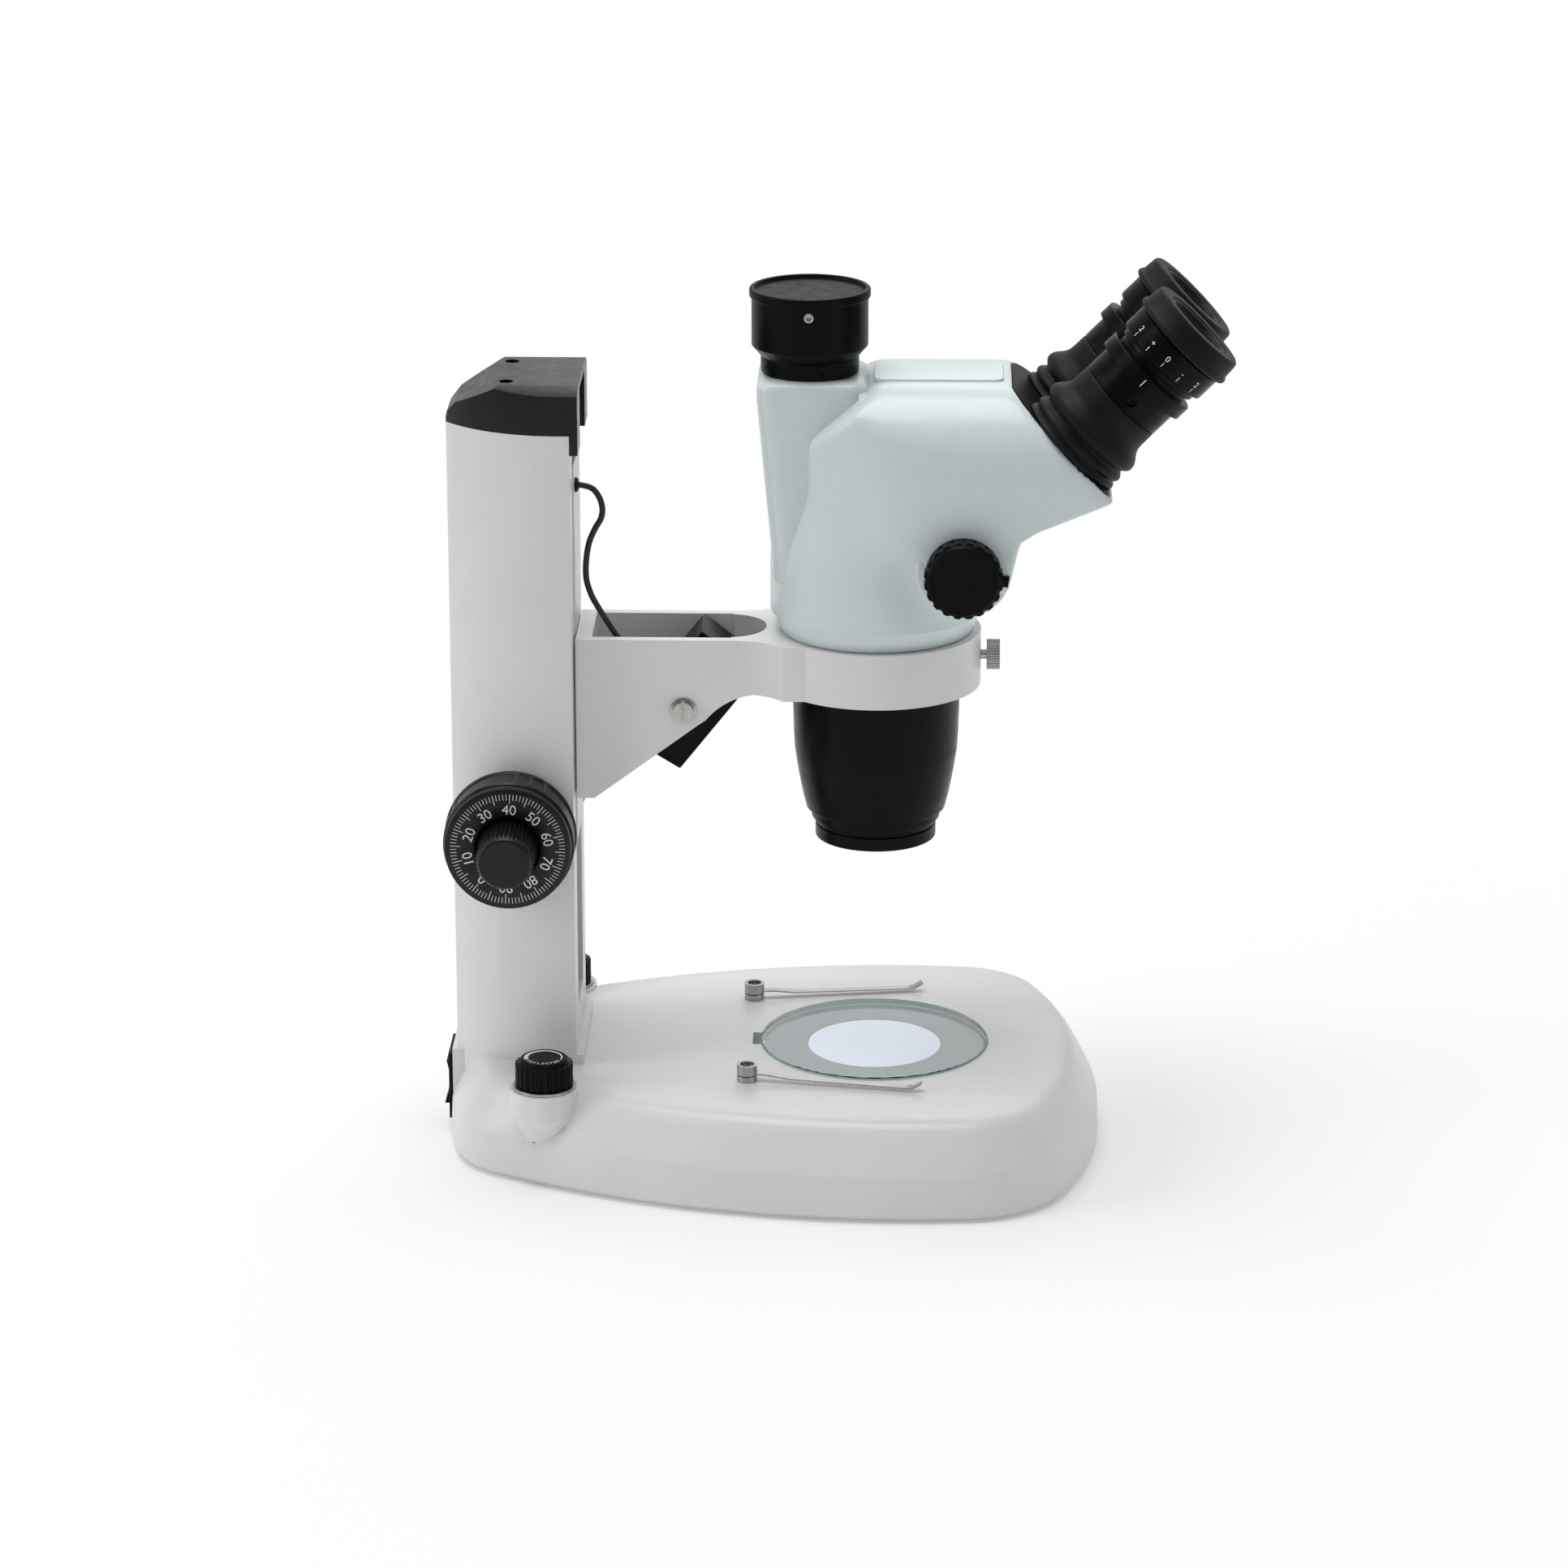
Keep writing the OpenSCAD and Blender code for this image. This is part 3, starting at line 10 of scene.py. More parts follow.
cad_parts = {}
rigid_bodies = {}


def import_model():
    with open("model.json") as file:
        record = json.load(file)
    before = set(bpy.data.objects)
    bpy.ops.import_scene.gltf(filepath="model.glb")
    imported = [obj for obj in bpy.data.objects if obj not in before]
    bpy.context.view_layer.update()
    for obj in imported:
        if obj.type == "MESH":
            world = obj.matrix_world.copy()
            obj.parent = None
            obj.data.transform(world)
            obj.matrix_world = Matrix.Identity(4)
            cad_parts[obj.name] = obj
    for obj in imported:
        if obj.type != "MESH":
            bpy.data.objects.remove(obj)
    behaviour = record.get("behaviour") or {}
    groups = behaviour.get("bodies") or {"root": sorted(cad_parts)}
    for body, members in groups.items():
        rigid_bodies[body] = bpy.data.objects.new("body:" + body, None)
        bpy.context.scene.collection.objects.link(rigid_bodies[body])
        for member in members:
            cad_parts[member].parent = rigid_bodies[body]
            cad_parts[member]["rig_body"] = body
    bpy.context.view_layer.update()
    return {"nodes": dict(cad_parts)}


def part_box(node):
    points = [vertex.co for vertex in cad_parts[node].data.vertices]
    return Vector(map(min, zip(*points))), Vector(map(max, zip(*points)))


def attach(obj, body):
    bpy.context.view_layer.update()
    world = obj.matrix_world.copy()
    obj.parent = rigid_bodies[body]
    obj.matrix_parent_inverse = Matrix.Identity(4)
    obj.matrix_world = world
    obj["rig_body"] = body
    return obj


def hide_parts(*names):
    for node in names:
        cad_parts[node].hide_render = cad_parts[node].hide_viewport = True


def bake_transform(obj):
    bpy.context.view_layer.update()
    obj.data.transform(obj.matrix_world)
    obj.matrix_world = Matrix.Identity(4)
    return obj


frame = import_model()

bl_info = {
    "name": "Stereo Microscope Finish",
    "version": (1, 0, 0),
    "blender": (4, 5, 0),
    "location": "3D View > Sidebar > Microscope",
    "description": "Finishes, marks and soft parts for the packed stereo microscope",
    "category": "Object",
}

MM = 0.001
nose_low, nose_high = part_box("nose_ring")
AXIS_X = (nose_low.x + nose_high.x) / 2
knob_low, knob_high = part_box("coarse_knobs")
FOCUS_X = (knob_low.x + knob_high.x) / 2
FOCUS_Z = (knob_low.z + knob_high.z) / 2
ARM_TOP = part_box("arm_casting")[1].z

# Places in the head, in millimetres: forwards from the optical axis, and above the table.
# The eyetubes stand on the front plate, leaning forwards by EYE_LEAN degrees.
EYE_X, EYE_SIDE, EYE_Z, EYE_LEAN = 77.6, 26, 302.9, 45
ZOOM_X, ZOOM_Z, ZOOM_BORE_R = 35, 256, 4.15
PORT_X, PORT_Z, PORT_BORE_R = -27.5, 320, 14
EYECUP_R = 22.6

# Heights along an eyetube, in millimetres: its set screw, the index line, and the dioptre lines and figures
TUBE_SCREW_AT, INDEX_AT, DIOPTRE_LINE_AT, DIOPTRE_FIGURE_AT = 33, 41.8, 52.5, 55.4

# Thickness of a focus dial, height of its finger knob, middle radius of the marks on a brightness knob,
# the deck that the brightness knobs stand on, and the rocker's pivot behind the optical axis
DIAL_T, FINGER_TOP, KNOB_MARK_R = 4.3, 23.7, 7.9
DECK_Z = 40.5
ROCKER_BACK, ROCKER_Z, ROCKER_HALF = 173, 21, 9.6

# The camera, and the point that the lamps shine at, in metres
CAMERA_AT, CAMERA_AIM, CAMERA_LENS = (0.03826, -2.17057, 0.86068), (-0.01896, 0, 0.15151), 126.7
LAMP_AIM = Vector((0, 0, 0.17))

# The lamp cable's route: behind the optical axis, to the side, and above the arm's top, in millimetres
CABLE_ROUTE = [
    (125.5, -8, 62), (116.8, -8, 60.5), (113.2, -8, 57), (111.6, -8, 52), (112.1, -8, 47.5),
    (114.6, -8, 43), (117.1, -8, 37), (118.4, -8, 29), (118.4, -8, 22), (116.8, -8, 16),
    (114.4, -8, 11), (108.7, -8, 1.5), (104, -9, -5), (100, -10.5, -9.5), (98, -11, -12.5), (98, -11, -15.4),
]


class FinishColours(bpy.types.PropertyGroup):
    """Colours of the painted, moulded and metal parts"""

    stand: bpy.props.FloatVectorProperty(
        name="Stand enamel", description="Colour of the base, column and arm", subtype="COLOR", size=3,
        min=0, max=1, default=(0.735, 0.735, 0.735))
    head: bpy.props.FloatVectorProperty(
        name="Head enamel", description="Colour of the head's shells", subtype="COLOR", size=3,
        min=0, max=1, default=(0.665, 0.74, 0.75))
    black: bpy.props.FloatVectorProperty(
        name="Black parts", description="Colour of anodised and moulded black parts", subtype="COLOR", size=3,
        min=0, max=1, default=(0.002, 0.0021, 0.0029))
    mask: bpy.props.FloatVectorProperty(
        name="Mask ring", description="Colour of the ring under the stage glass", subtype="COLOR", size=3,
        min=0, max=1, default=(0.075, 0.088, 0.096))


class MarkSizes(bpy.types.PropertyGroup):
    """Sizes of the printed marks"""

    figure_height: bpy.props.FloatProperty(
        name="Dial figures", description="Height of the figures on the focus dials", subtype="DISTANCE",
        unit="LENGTH", min=0.002, max=0.005, default=0.0041)
    divisions: bpy.props.IntProperty(
        name="Dial divisions", description="Number of divisions round a focus dial", min=50, max=200,
        default=100)
    ink: bpy.props.FloatProperty(
        name="Ink thickness", description="How far printed marks stand above a surface", subtype="DISTANCE",
        unit="LENGTH", min=0.00002, max=0.0002, default=0.00006)


class StudioSettings(bpy.types.PropertyGroup):
    """Light and floor of the studio"""

    ambient: bpy.props.FloatProperty(
        name="Ambient", description="Strength of the soft light from all round", min=0, max=2, default=0.47)
    key: bpy.props.FloatProperty(
        name="Key lamp", description="Power of the large lamp on the camera's side", subtype="POWER",
        unit="POWER", min=0, max=200, default=32.0)
    top: bpy.props.FloatProperty(
        name="Top lamp", description="Power of the lamp overhead", subtype="POWER",
        unit="POWER", min=0, max=200, default=52.0)
    floor: bpy.props.FloatVectorProperty(
        name="Floor", description="Colour of the floor", subtype="COLOR", size=3, min=0, max=1,
        default=(0.95, 0.95, 0.95))


# Making of meshes


def only(*pieces):
    """Selects just these objects, the last of them active"""
    if bpy.context.mode != "OBJECT":
        bpy.ops.object.mode_set(mode="OBJECT")
    bpy.ops.object.select_all(action="DESELECT")
    for piece in pieces:
        piece.select_set(True)
        bpy.context.view_layer.objects.active = piece


def new_piece(name):
    """An empty mesh object, selected and active"""
    piece = bpy.data.objects.new(name, bpy.data.meshes.new(name))
    bpy.context.scene.collection.objects.link(piece)
    only(piece)
    return piece


def apply_modifier(piece, kind, **settings):
    only(piece)
    modifier = piece.modifiers.new(kind.title(), kind)
    for key, value in settings.items():
        setattr(modifier, key, value)
    bpy.ops.object.modifier_apply(modifier=modifier.name)


def smooth(piece, degrees=35):
    only(piece)
    bpy.ops.object.shade_smooth_by_angle(angle=math.radians(degrees))


def moved(x, y, z):
    """A move in millimetres"""
    return Matrix.Translation(Vector((x, y, z)) * MM)


def rotated(degrees, axis):
    return Matrix.Rotation(math.radians(degrees), 4, axis)


def place(piece, matrix):
    """Puts a piece modelled round the origin where it belongs, in its mesh"""
    only(piece)
    bpy.ops.object.transform_apply(location=True, rotation=True, scale=True)
    piece.data.transform(matrix)
    return piece


def edit_all(*steps):
    """Runs edit-mode operators, each a name and its settings, on all of the active piece"""
    bpy.ops.object.mode_set(mode="EDIT")
    for name, settings in steps:
        bpy.ops.mesh.select_all(action="SELECT")
        getattr(bpy.ops.mesh, name)(**settings)
    bpy.ops.object.mode_set(mode="OBJECT")


NORMALS_OUT = ("normals_make_consistent", dict(inside=False))


def doubles_merged(distance):
    return "remove_doubles", dict(threshold=distance)


def drawn(name):
    """A new piece in edit mode, and its mesh"""
    piece = new_piece(name)
    bpy.ops.object.mode_set(mode="EDIT")
    return piece, bmesh.from_edit_mesh(piece.data)


def turned(name, profile, steps=96):
    """A piece turned about Z from a closed outline of (radius, height) points in millimetres"""
    piece, mesh = drawn(name)
    points = [mesh.verts.new((r * MM, 0, z * MM)) for r, z in profile]
    for a, b in zip(points, points[1:] + points[:1]):
        mesh.edges.new((a, b))
    bmesh.update_edit_mesh(piece.data)
    edit_all(("spin", dict(steps=steps, angle=math.tau, center=(0, 0, 0), axis=(0, 0, 1))),
             doubles_merged(1e-6), ("dissolve_degenerate", dict(threshold=1e-6)), NORMALS_OUT)
    smooth(piece)
    return piece


def lofted(name, rings, angle=35):
    """A closed piece whose skin runs through rings of as many points each, in metres, flat at both ends"""
    piece, mesh = drawn(name)
    rows = [[mesh.verts.new(point) for point in ring] for ring in rings]
    for low, high in zip(rows, rows[1:]):
        for a, b, c, d in zip(low, low[1:] + low[:1], high[1:] + high[:1], high):
            mesh.faces.new((a, b, c, d))
    for end in (rows[0], rows[-1]):
        mesh.faces.new(end)
    bmesh.update_edit_mesh(piece.data)
    edit_all(NORMALS_OUT)
    smooth(piece, angle)
    return piece


def cut_out(piece, cutter, operation="DIFFERENCE"):
    """Cuts one piece with another, which goes"""
    apply_modifier(piece, "BOOLEAN", object=cutter, operation=operation, solver="EXACT")
    bpy.data.objects.remove(cutter)


def drill(piece, radius, depth, steps, matrix):
    """Cuts a round hole along Z of a frame"""
    only()
    bpy.ops.mesh.primitive_cylinder_add(vertices=steps, radius=radius * MM, depth=depth * MM)
    cut_out(piece, place(bpy.context.object, matrix))


def block(name, size, middle=(0, 0, 0)):
    """A box of a size about a middle, in metres"""
    only()
    bpy.ops.mesh.primitive_cube_add(size=1, location=middle)
    piece = bpy.context.object
    piece.name = piece.data.name = name
    piece.scale = size
    bpy.ops.object.transform_apply(location=True, rotation=True, scale=True)
    return piece


def joined(name, pieces):
    """Pieces made into one"""
    only(*pieces)
    if len(pieces) > 1:
        bpy.ops.object.join()
    piece = bpy.context.view_layer.objects.active
    piece.name = piece.data.name = name
    return piece


def copied(piece, name, matrix):
    """A copy with a mesh of its own, moved in its mesh"""
    only(piece)
    bpy.ops.object.duplicate()
    copy = bpy.context.view_layer.objects.active
    copy.name = copy.data.name = name
    copy.data.transform(matrix)
    return copy


# Height of a figure in Blender's own font, as a share of the font size
CAPITAL_HEIGHT = 0.69


def lettering(name, words, height, thickness):
    """Words or figures as a thin mesh lying in the XY plane, centred"""
    only()
    bpy.ops.object.text_add()
    text = bpy.context.object
    text.data.body = words
    text.data.align_x = "CENTER"
    text.data.align_y = "CENTER"
    text.data.size = height / CAPITAL_HEIGHT
    text.data.resolution_u = 4
    text.data.extrude = thickness / 2
    bpy.ops.object.convert(target="MESH")
    piece = bpy.context.object
    piece.name = piece.data.name = name
    bpy.ops.object.transform_apply(location=True, rotation=True, scale=True)
    edit_all(doubles_merged(1e-7), NORMALS_OUT)
    return piece


def stroke(name, length, width, thickness):
    """A straight printed line along Y, with its corners rounded"""
    piece = block(name, (width, length, thickness))
    bpy.ops.object.mode_set(mode="EDIT")
    bpy.ops.mesh.select_mode(type="EDGE")
    bpy.ops.mesh.select_all(action="DESELECT")
    mesh = bmesh.from_edit_mesh(piece.data)
    for edge in mesh.edges:
        a, b = (v.co for v in edge.verts)
        edge.select = abs(a.z - b.z) > thickness / 2
    bmesh.update_edit_mesh(piece.data)
    bpy.ops.mesh.bevel(offset=width * 0.3, segments=1)
    bpy.ops.object.mode_set(mode="OBJECT")
    return piece


def eased_copy(node, width, slot, finish=None):
    """A merged copy of a CAD node with its hard edges eased, shown in the node's place"""
    source = frame["nodes"][node]
    piece = bpy.data.objects.new(node + "_finished", source.data.copy())
    bpy.context.scene.collection.objects.link(piece)
    only(piece)
    bpy.ops.mesh.customdata_custom_splitnormals_clear()
    edit_all(doubles_merged(4e-6), ("dissolve_limited", dict(angle_limit=math.radians(0.6))))
    piece.data.materials.clear()
    if width:
        apply_modifier(piece, "BEVEL", width=width * MM, segments=2, limit_method="ANGLE",
                       angle_limit=math.radians(28), use_clamp_overlap=True, miter_outer="MITER_ARC")
    apply_modifier(piece, "TRIANGULATE", min_vertices=5)
    smooth(piece, 32)
    apply_modifier(piece, "WEIGHTED_NORMAL", keep_sharp=True)
    piece.data.materials.append(finishes[finish or slot])
    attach(piece, source["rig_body"])
    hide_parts(node)
    return piece


# Finishes


class Finish:
    """A node material under construction, read in object coordinates"""

    def __init__(self, name, **values):
        self.material = bpy.data.materials.new(name)
        self.material.use_nodes = True
        self.nodes = self.material.node_tree.nodes
        self.links = self.material.node_tree.links
        self.shader = self.nodes["Principled BSDF"]
        self.place = self.nodes.new("ShaderNodeTexCoord").outputs["Object"]
        for key, value in values.items():
            self.shader.inputs[key.replace("_", " ")].default_value = value

    def noise(self, scale, detail=4, roughness=0.55, stretch=None):
        texture = self.nodes.new("ShaderNodeTexNoise")
        texture.inputs["Scale"].default_value = scale
        texture.inputs["Detail"].default_value = detail
        texture.inputs["Roughness"].default_value = roughness
        source = self.place
        if stretch:
            mapping = self.nodes.new("ShaderNodeMapping")
            mapping.inputs["Scale"].default_value = stretch
            self.links.new(self.place, mapping.inputs["Vector"])
            source = mapping.outputs["Vector"]
        self.links.new(source, texture.inputs["Vector"])
        return texture.outputs["Fac"]

    def spread(self, fac, low, high, from_low=0.3, from_high=0.7):
        span = self.nodes.new("ShaderNodeMapRange")
        span.inputs["From Min"].default_value = from_low
        span.inputs["From Max"].default_value = from_high
        span.inputs["To Min"].default_value = low
        span.inputs["To Max"].default_value = high
        self.links.new(fac, span.inputs["Value"])
        return span.outputs["Result"]

    def tint(self, fac, first, second):
        mix = self.nodes.new("ShaderNodeMix")
        mix.data_type = "RGBA"
        for socket, value in ((mix.inputs[6], first), (mix.inputs[7], second)):
            if isinstance(value, tuple):
                socket.default_value = (*value, 1)
            else:
                self.links.new(value, socket)
        self.links.new(fac, mix.inputs[0])
        return mix.outputs[2]

    def edges(self, low=0.52, high=0.62):
        """1 along convex edges, 0 elsewhere: the mask of the painted edge highlight"""
        geometry = self.nodes.new("ShaderNodeNewGeometry")
        return self.spread(geometry.outputs["Pointiness"], 0, 1, low, high)

    def relief(self, fac, strength, distance):
        bump = self.nodes.new("ShaderNodeBump")
        bump.inputs["Strength"].default_value = strength
        bump.inputs["Distance"].default_value = distance
        self.links.new(fac, bump.inputs["Height"])
        self.links.new(bump.outputs["Normal"], self.shader.inputs["Normal"])

    def set(self, socket, source):
        self.links.new(source, self.shader.inputs[socket])


def calculated(tree, operation, first, second):
    """The outcome of a maths node from two sockets"""
    node = tree.nodes.new("ShaderNodeMath")
    node.operation = operation
    for socket, source in zip(node.inputs, (first, second)):
        tree.links.new(source, socket)
    return node.outputs[0]


def mixed_to(end, tree, share, first, second):
    """Leads a mix of two shaders to the surface of an output node"""
    mix = tree.nodes.new("ShaderNodeMixShader")
    for socket, source in zip(mix.inputs, (share, first, second)):
        tree.links.new(source, socket)
    tree.links.new(mix.outputs[0], tree.nodes[end].inputs["Surface"])


def shaded(colour, factor):
    return tuple(min(1.0, c * factor) for c in colour)


def painted(name, colour, peel, peel_depth, roughness, edge_highlight):
    """Baked enamel on a casting: faint clouding, orange peel, and a painted highlight that lightens its edges
    """
    f = Finish(name, Coat_Weight=0.25, Coat_Roughness=0.22, Specular_IOR_Level=0.45)
    cloud = f.tint(f.spread(f.noise(18, 3), 0, 1), shaded(colour, 0.975), shaded(colour, 1.02))
    speck = f.tint(f.spread(f.noise(900, 2), 0, 1, 0.62, 0.72), cloud, shaded(colour, 0.93))
    # Convex edges take a lighter colour: a painted highlight along the edges
    f.set("Base Color", f.tint(f.edges(), speck, shaded(colour, edge_highlight)))
    f.set("Roughness", f.spread(f.noise(60, 4), roughness - 0.05, roughness + 0.06))
    f.relief(f.noise(peel, 2, 0.5), 0.35, peel_depth)
    return f.material


def matt_finish(name, colour, roughness, grain, depth, edge_highlight_colour, specular=0.5, sheen=0.0):
    """A black or grey surface with its grain, slight clouding and a painted highlight that lightens its edges
    """
    f = Finish(name, Specular_IOR_Level=specular)
    if sheen:
        f.shader.inputs["Sheen Weight"].default_value = sheen
        f.shader.inputs["Sheen Roughness"].default_value = 0.5
    cloud = f.tint(f.spread(f.noise(70, 4), 0, 1), shaded(colour, 0.8), shaded(colour, 1.3))
    # Convex edges take a lighter colour: a painted highlight along the edges
    f.set("Base Color", f.tint(f.edges(0.53, 0.66), cloud, edge_highlight_colour))
    f.set("Roughness", f.spread(f.noise(180, 4), roughness - 0.05, roughness + 0.07))
    f.relief(f.noise(grain, 3, 0.6), 0.4, depth)
    return f.material


def metal(name, colour, roughness, brushed, depth=2e-6):
    """Bare metal with fine tool marks along one direction"""
    f = Finish(name, Metallic=1.0)
    marks = f.noise(700, 3, 0.6, stretch=brushed)
    f.set("Base Color", f.tint(f.spread(f.noise(120, 4), 0, 1), shaded(colour, 0.9), shaded(colour, 1.06)))
    f.set("Roughness", f.spread(marks, roughness - 0.06, roughness + 0.1))
    f.relief(marks, 0.35, depth)
    return f.material


def glass(name, colour, coating=None, clear=True):
    """Ground and polished glass that lets the studio's light through to what lies under it"""
    f = Finish(name, Transmission_Weight=1.0, IOR=1.16 if clear else 1.5)
    f.set("Roughness", f.spread(f.noise(90, 3), 0.0, 0.03))
    f.set("Base Color", f.tint(f.spread(f.noise(40, 2), 0, 1), colour, shaded(colour, 0.985)))
    if coating:
        fresnel = f.nodes.new("ShaderNodeLayerWeight")
        fresnel.inputs["Blend"].default_value = 0.35
        f.set("Specular Tint", f.tint(fresnel.outputs["Facing"], coating, (1, 1, 1)))
        f.shader.inputs["Coat Weight"].default_value = 0.6
    f.relief(f.noise(30, 2), 0.05, 1e-6)
    if clear:
        path = f.nodes.new("ShaderNodeLightPath").outputs
        through = f.nodes.new("ShaderNodeBsdfTransparent")
        through.inputs["Color"].default_value = (*shaded(colour, 0.98), 1)
        mixed_to("Material Output", f.material.node_tree, path["Is Shadow Ray"], f.shader.outputs[0],
                 through.outputs[0])
    return f.material


def ground_edge(name, colour):
    """Frosted rim of a glass plate"""
    f = Finish(name, Transmission_Weight=0.25, IOR=1.3)
    f.set("Base Color", f.tint(f.spread(f.noise(300, 3), 0, 1), colour, shaded(colour, 0.9)))
    f.set("Roughness", f.spread(f.noise(500, 3), 0.45, 0.6))
    f.relief(f.noise(2200, 2), 0.3, 6e-6)
    return f.material


def opal_sheet(name, colour):
    """Milky acrylic over the light field"""
    f = Finish(name, Subsurface_Weight=0.15, Subsurface_Scale=0.002)
    f.set("Base Color", f.tint(f.spread(f.noise(50, 3), 0, 1), colour, shaded(colour, 0.98)))
    f.set("Roughness", f.spread(f.noise(300, 3), 0.3, 0.42))
    f.relief(f.noise(1500, 2), 0.2, 5e-6)
    return f.material


def circuit_board(name):
    """Green board with copper runs under its mask"""
    f = Finish(name)
    runs = f.nodes.new("ShaderNodeTexBrick")
    runs.inputs["Scale"].default_value = 180
    runs.inputs["Color1"].default_value = (0.01, 0.09, 0.03, 1)
    runs.inputs["Color2"].default_value = (0.015, 0.12, 0.04, 1)
    runs.inputs["Mortar"].default_value = (0.05, 0.2, 0.08, 1)
    f.links.new(f.place, runs.inputs["Vector"])
    f.set("Base Color", runs.outputs["Color"])
    f.set("Roughness", f.spread(f.noise(200, 3), 0.3, 0.5))
    f.relief(runs.outputs["Fac"], 0.3, 2e-5)
    return f.material


def printed_ink(name, colour):
    """Silk-screened ink with slightly uneven cover"""
    f = Finish(name)
    f.set("Base Color", f.tint(f.spread(f.noise(900, 3), 0, 1), colour, shaded(colour, 0.86)))
    f.set("Roughness", f.spread(f.noise(400, 3), 0.45, 0.6))
    f.relief(f.noise(2500, 2), 0.2, 4e-6)
    return f.material


finishes = {}


def make_finishes(colours):
    """All finishes of the microscope by their slot in the record, and the extra ones of the new pieces"""
    black = tuple(colours.black)
    finishes.update(
        stand_paint=painted("stand_enamel", tuple(colours.stand), 1500, 3.5e-5, 0.42, 1.03),
        head_paint=painted("head_enamel", tuple(colours.head), 700, 8e-6, 0.34, 1.04),
        dark_plastic=matt_finish(
            "cap_plastic", (0.004, 0.0042, 0.0055), 0.3, 2600, 1.2e-5, (0.02, 0.021, 0.025), 0.3),
        black_plastic=matt_finish(
            "moulded_black", shaded(black, 1.2), 0.4, 2400, 1.5e-5, (0.012, 0.0125, 0.015), 0.09),
        black_metal=matt_finish("anodised_black", black, 0.3, 3200, 5e-6, (0.015, 0.016, 0.019), 0.1),
        knob_black=matt_finish(
            "satin_black", shaded(black, 1.6), 0.36, 2600, 8e-6, (0.02, 0.021, 0.024), 0.32),
        rubber_black=matt_finish(
            "soft_rubber", (0.0052, 0.0056, 0.0068), 0.5, 1800, 2e-5, (0.016, 0.017, 0.019), 0.15, 0.02),
        cable_jacket=matt_finish(
            "cable_jacket", (0.006, 0.006, 0.007), 0.45, 2600, 1.5e-5, (0.03, 0.03, 0.03)),
        mask_grey=matt_finish("mask_paint", tuple(colours.mask), 0.5, 1200, 1e-5, (0.2, 0.22, 0.23), 0.15),
        steel=metal("nickelled_steel", (0.44, 0.435, 0.42), 0.24, (1, 12, 1)),
        slider_metal=metal("satin_aluminium", (0.62, 0.63, 0.64), 0.42, (14, 14, 1), 3e-6),
        bronze=metal("bearing_bronze", (0.55, 0.36, 0.17), 0.35, (12, 12, 1)),
        glass_clear=glass("stage_glass", (0.965, 0.985, 0.98)),
        coated_glass=glass("coated_lens", (0.93, 0.95, 0.98), (0.45, 0.35, 0.95), False),
        ground_glass=ground_edge("ground_glass", (0.50, 0.72, 0.68)),
        diffuser_white=opal_sheet("opal_acrylic", (0.45, 0.475, 0.57)),
        board_green=circuit_board("circuit_board"),
        ink=printed_ink("white_ink", (0.80, 0.83, 0.86)),
    )


# Which finish each CAD node takes, and how far its edges are eased in millimetres.
# The nodes of the last table are shown as packed.
CASTINGS = {
    "base_casting": ("stand_paint", 0.7), "column_shell": ("stand_paint", 0.8),
    "arm_casting": ("stand_paint", 1.3),
}
BLACK_PARTS = {
    "column_cap": ("dark_plastic", 0.8), "switch_bezel": ("black_plastic", 0.3),
    "power_rocker": ("black_plastic", 0.4), "dc_inlet": ("black_plastic", 0.2),
    "objective_barrel": ("black_metal", 0.3), "nose_ring": ("black_metal", 0.15),
    "port_ring": ("black_metal", 0.25), "port_tube": ("black_metal", 0.4),
    "dust_cap": ("black_plastic", 0.3), "lamp_housing": ("black_metal", 0.5),
    "cable_gland": ("black_plastic", 0.5), "eyetube_left": ("black_metal", 0.25),
    "eyetube_right": ("black_metal", 0.25), "dioptre_ring_left": ("black_metal", 0.25),
    "dioptre_ring_right": ("black_metal", 0.25), "rubber_feet": ("rubber_black", 0.4),
    "zoom_knobs": ("black_plastic", 0.25), "brightness_knob_left": ("black_plastic", 0.2),
    "brightness_knob_right": ("black_plastic", 0.2),
}
BRIGHT_PARTS = {
    "clip_posts": ("steel", 0.3), "stage_clip_left": ("steel", 0.08), "stage_clip_right": ("steel", 0.08),
    "clamp_screw": ("steel", 0.1), "lamp_pivot_screws": ("steel", 0.2), "cap_screws": ("steel", 0.15),
    "port_set_screw": ("steel", 0.1), "focus_slider": ("slider_metal", 0.2),
}
AS_PACKED = {
    "bottom_plate": "black_metal", "guide_rails": "steel", "pinion_bushes": "bronze",
    "circuit_boards": "board_green", "light_diffuser": "diffuser_white", "stage_mask_ring": "mask_grey",
    "potentiometers": "steel", "focus_rack": "steel", "pinion_shaft": "steel", "fine_shaft": "steel",
    "lamp_lens": "glass_clear", "objective_lens": "coated_glass", "prisms": "glass_clear",
    "zoom_shaft": "steel", "zoom_drum": "bronze", "eye_lens_left": "coated_glass",
    "eye_lens_right": "coated_glass",
}


def finish_nodes(table):
    for node, (slot, width) in table.items():
        eased_copy(node, width, slot)


def settle(piece, finish, body):
    """Gives a new piece its finish and its body"""
    piece.data.materials.clear()
    piece.data.materials.append(finishes[finish])
    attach(piece, body)


def eye_frame(side):
    """Frame of an eyetube: Z along its axis from its foot on the front plate"""
    return Matrix.Translation((AXIS_X, 0, 0)) @ moved(EYE_X, side * EYE_SIDE, EYE_Z) @ rotated(EYE_LEAN, "Y")


def on_rim(radius, height, degrees):
    """Frame of a mark on the rim of a part turned about Z: X round it, Y up along it, Z outwards.
    0 degrees faces the camera's side and the angle grows to the right of who looks at it."""
    return rotated(degrees, "Z") @ moved(0, -radius, height) @ rotated(90, "X")


# Form of the head's shell, in millimetres: X forwards from the optical axis, Y to the side, Z upwards
HEAD_WALL, HEAD_TOP = 2.6, 327.75
SHELL_BACK, SHELL_HALF = 27.5, 49.5
SHOULDER_Y, SHOULDER_Z, SHOULDER_R = 15.5, 294, 34

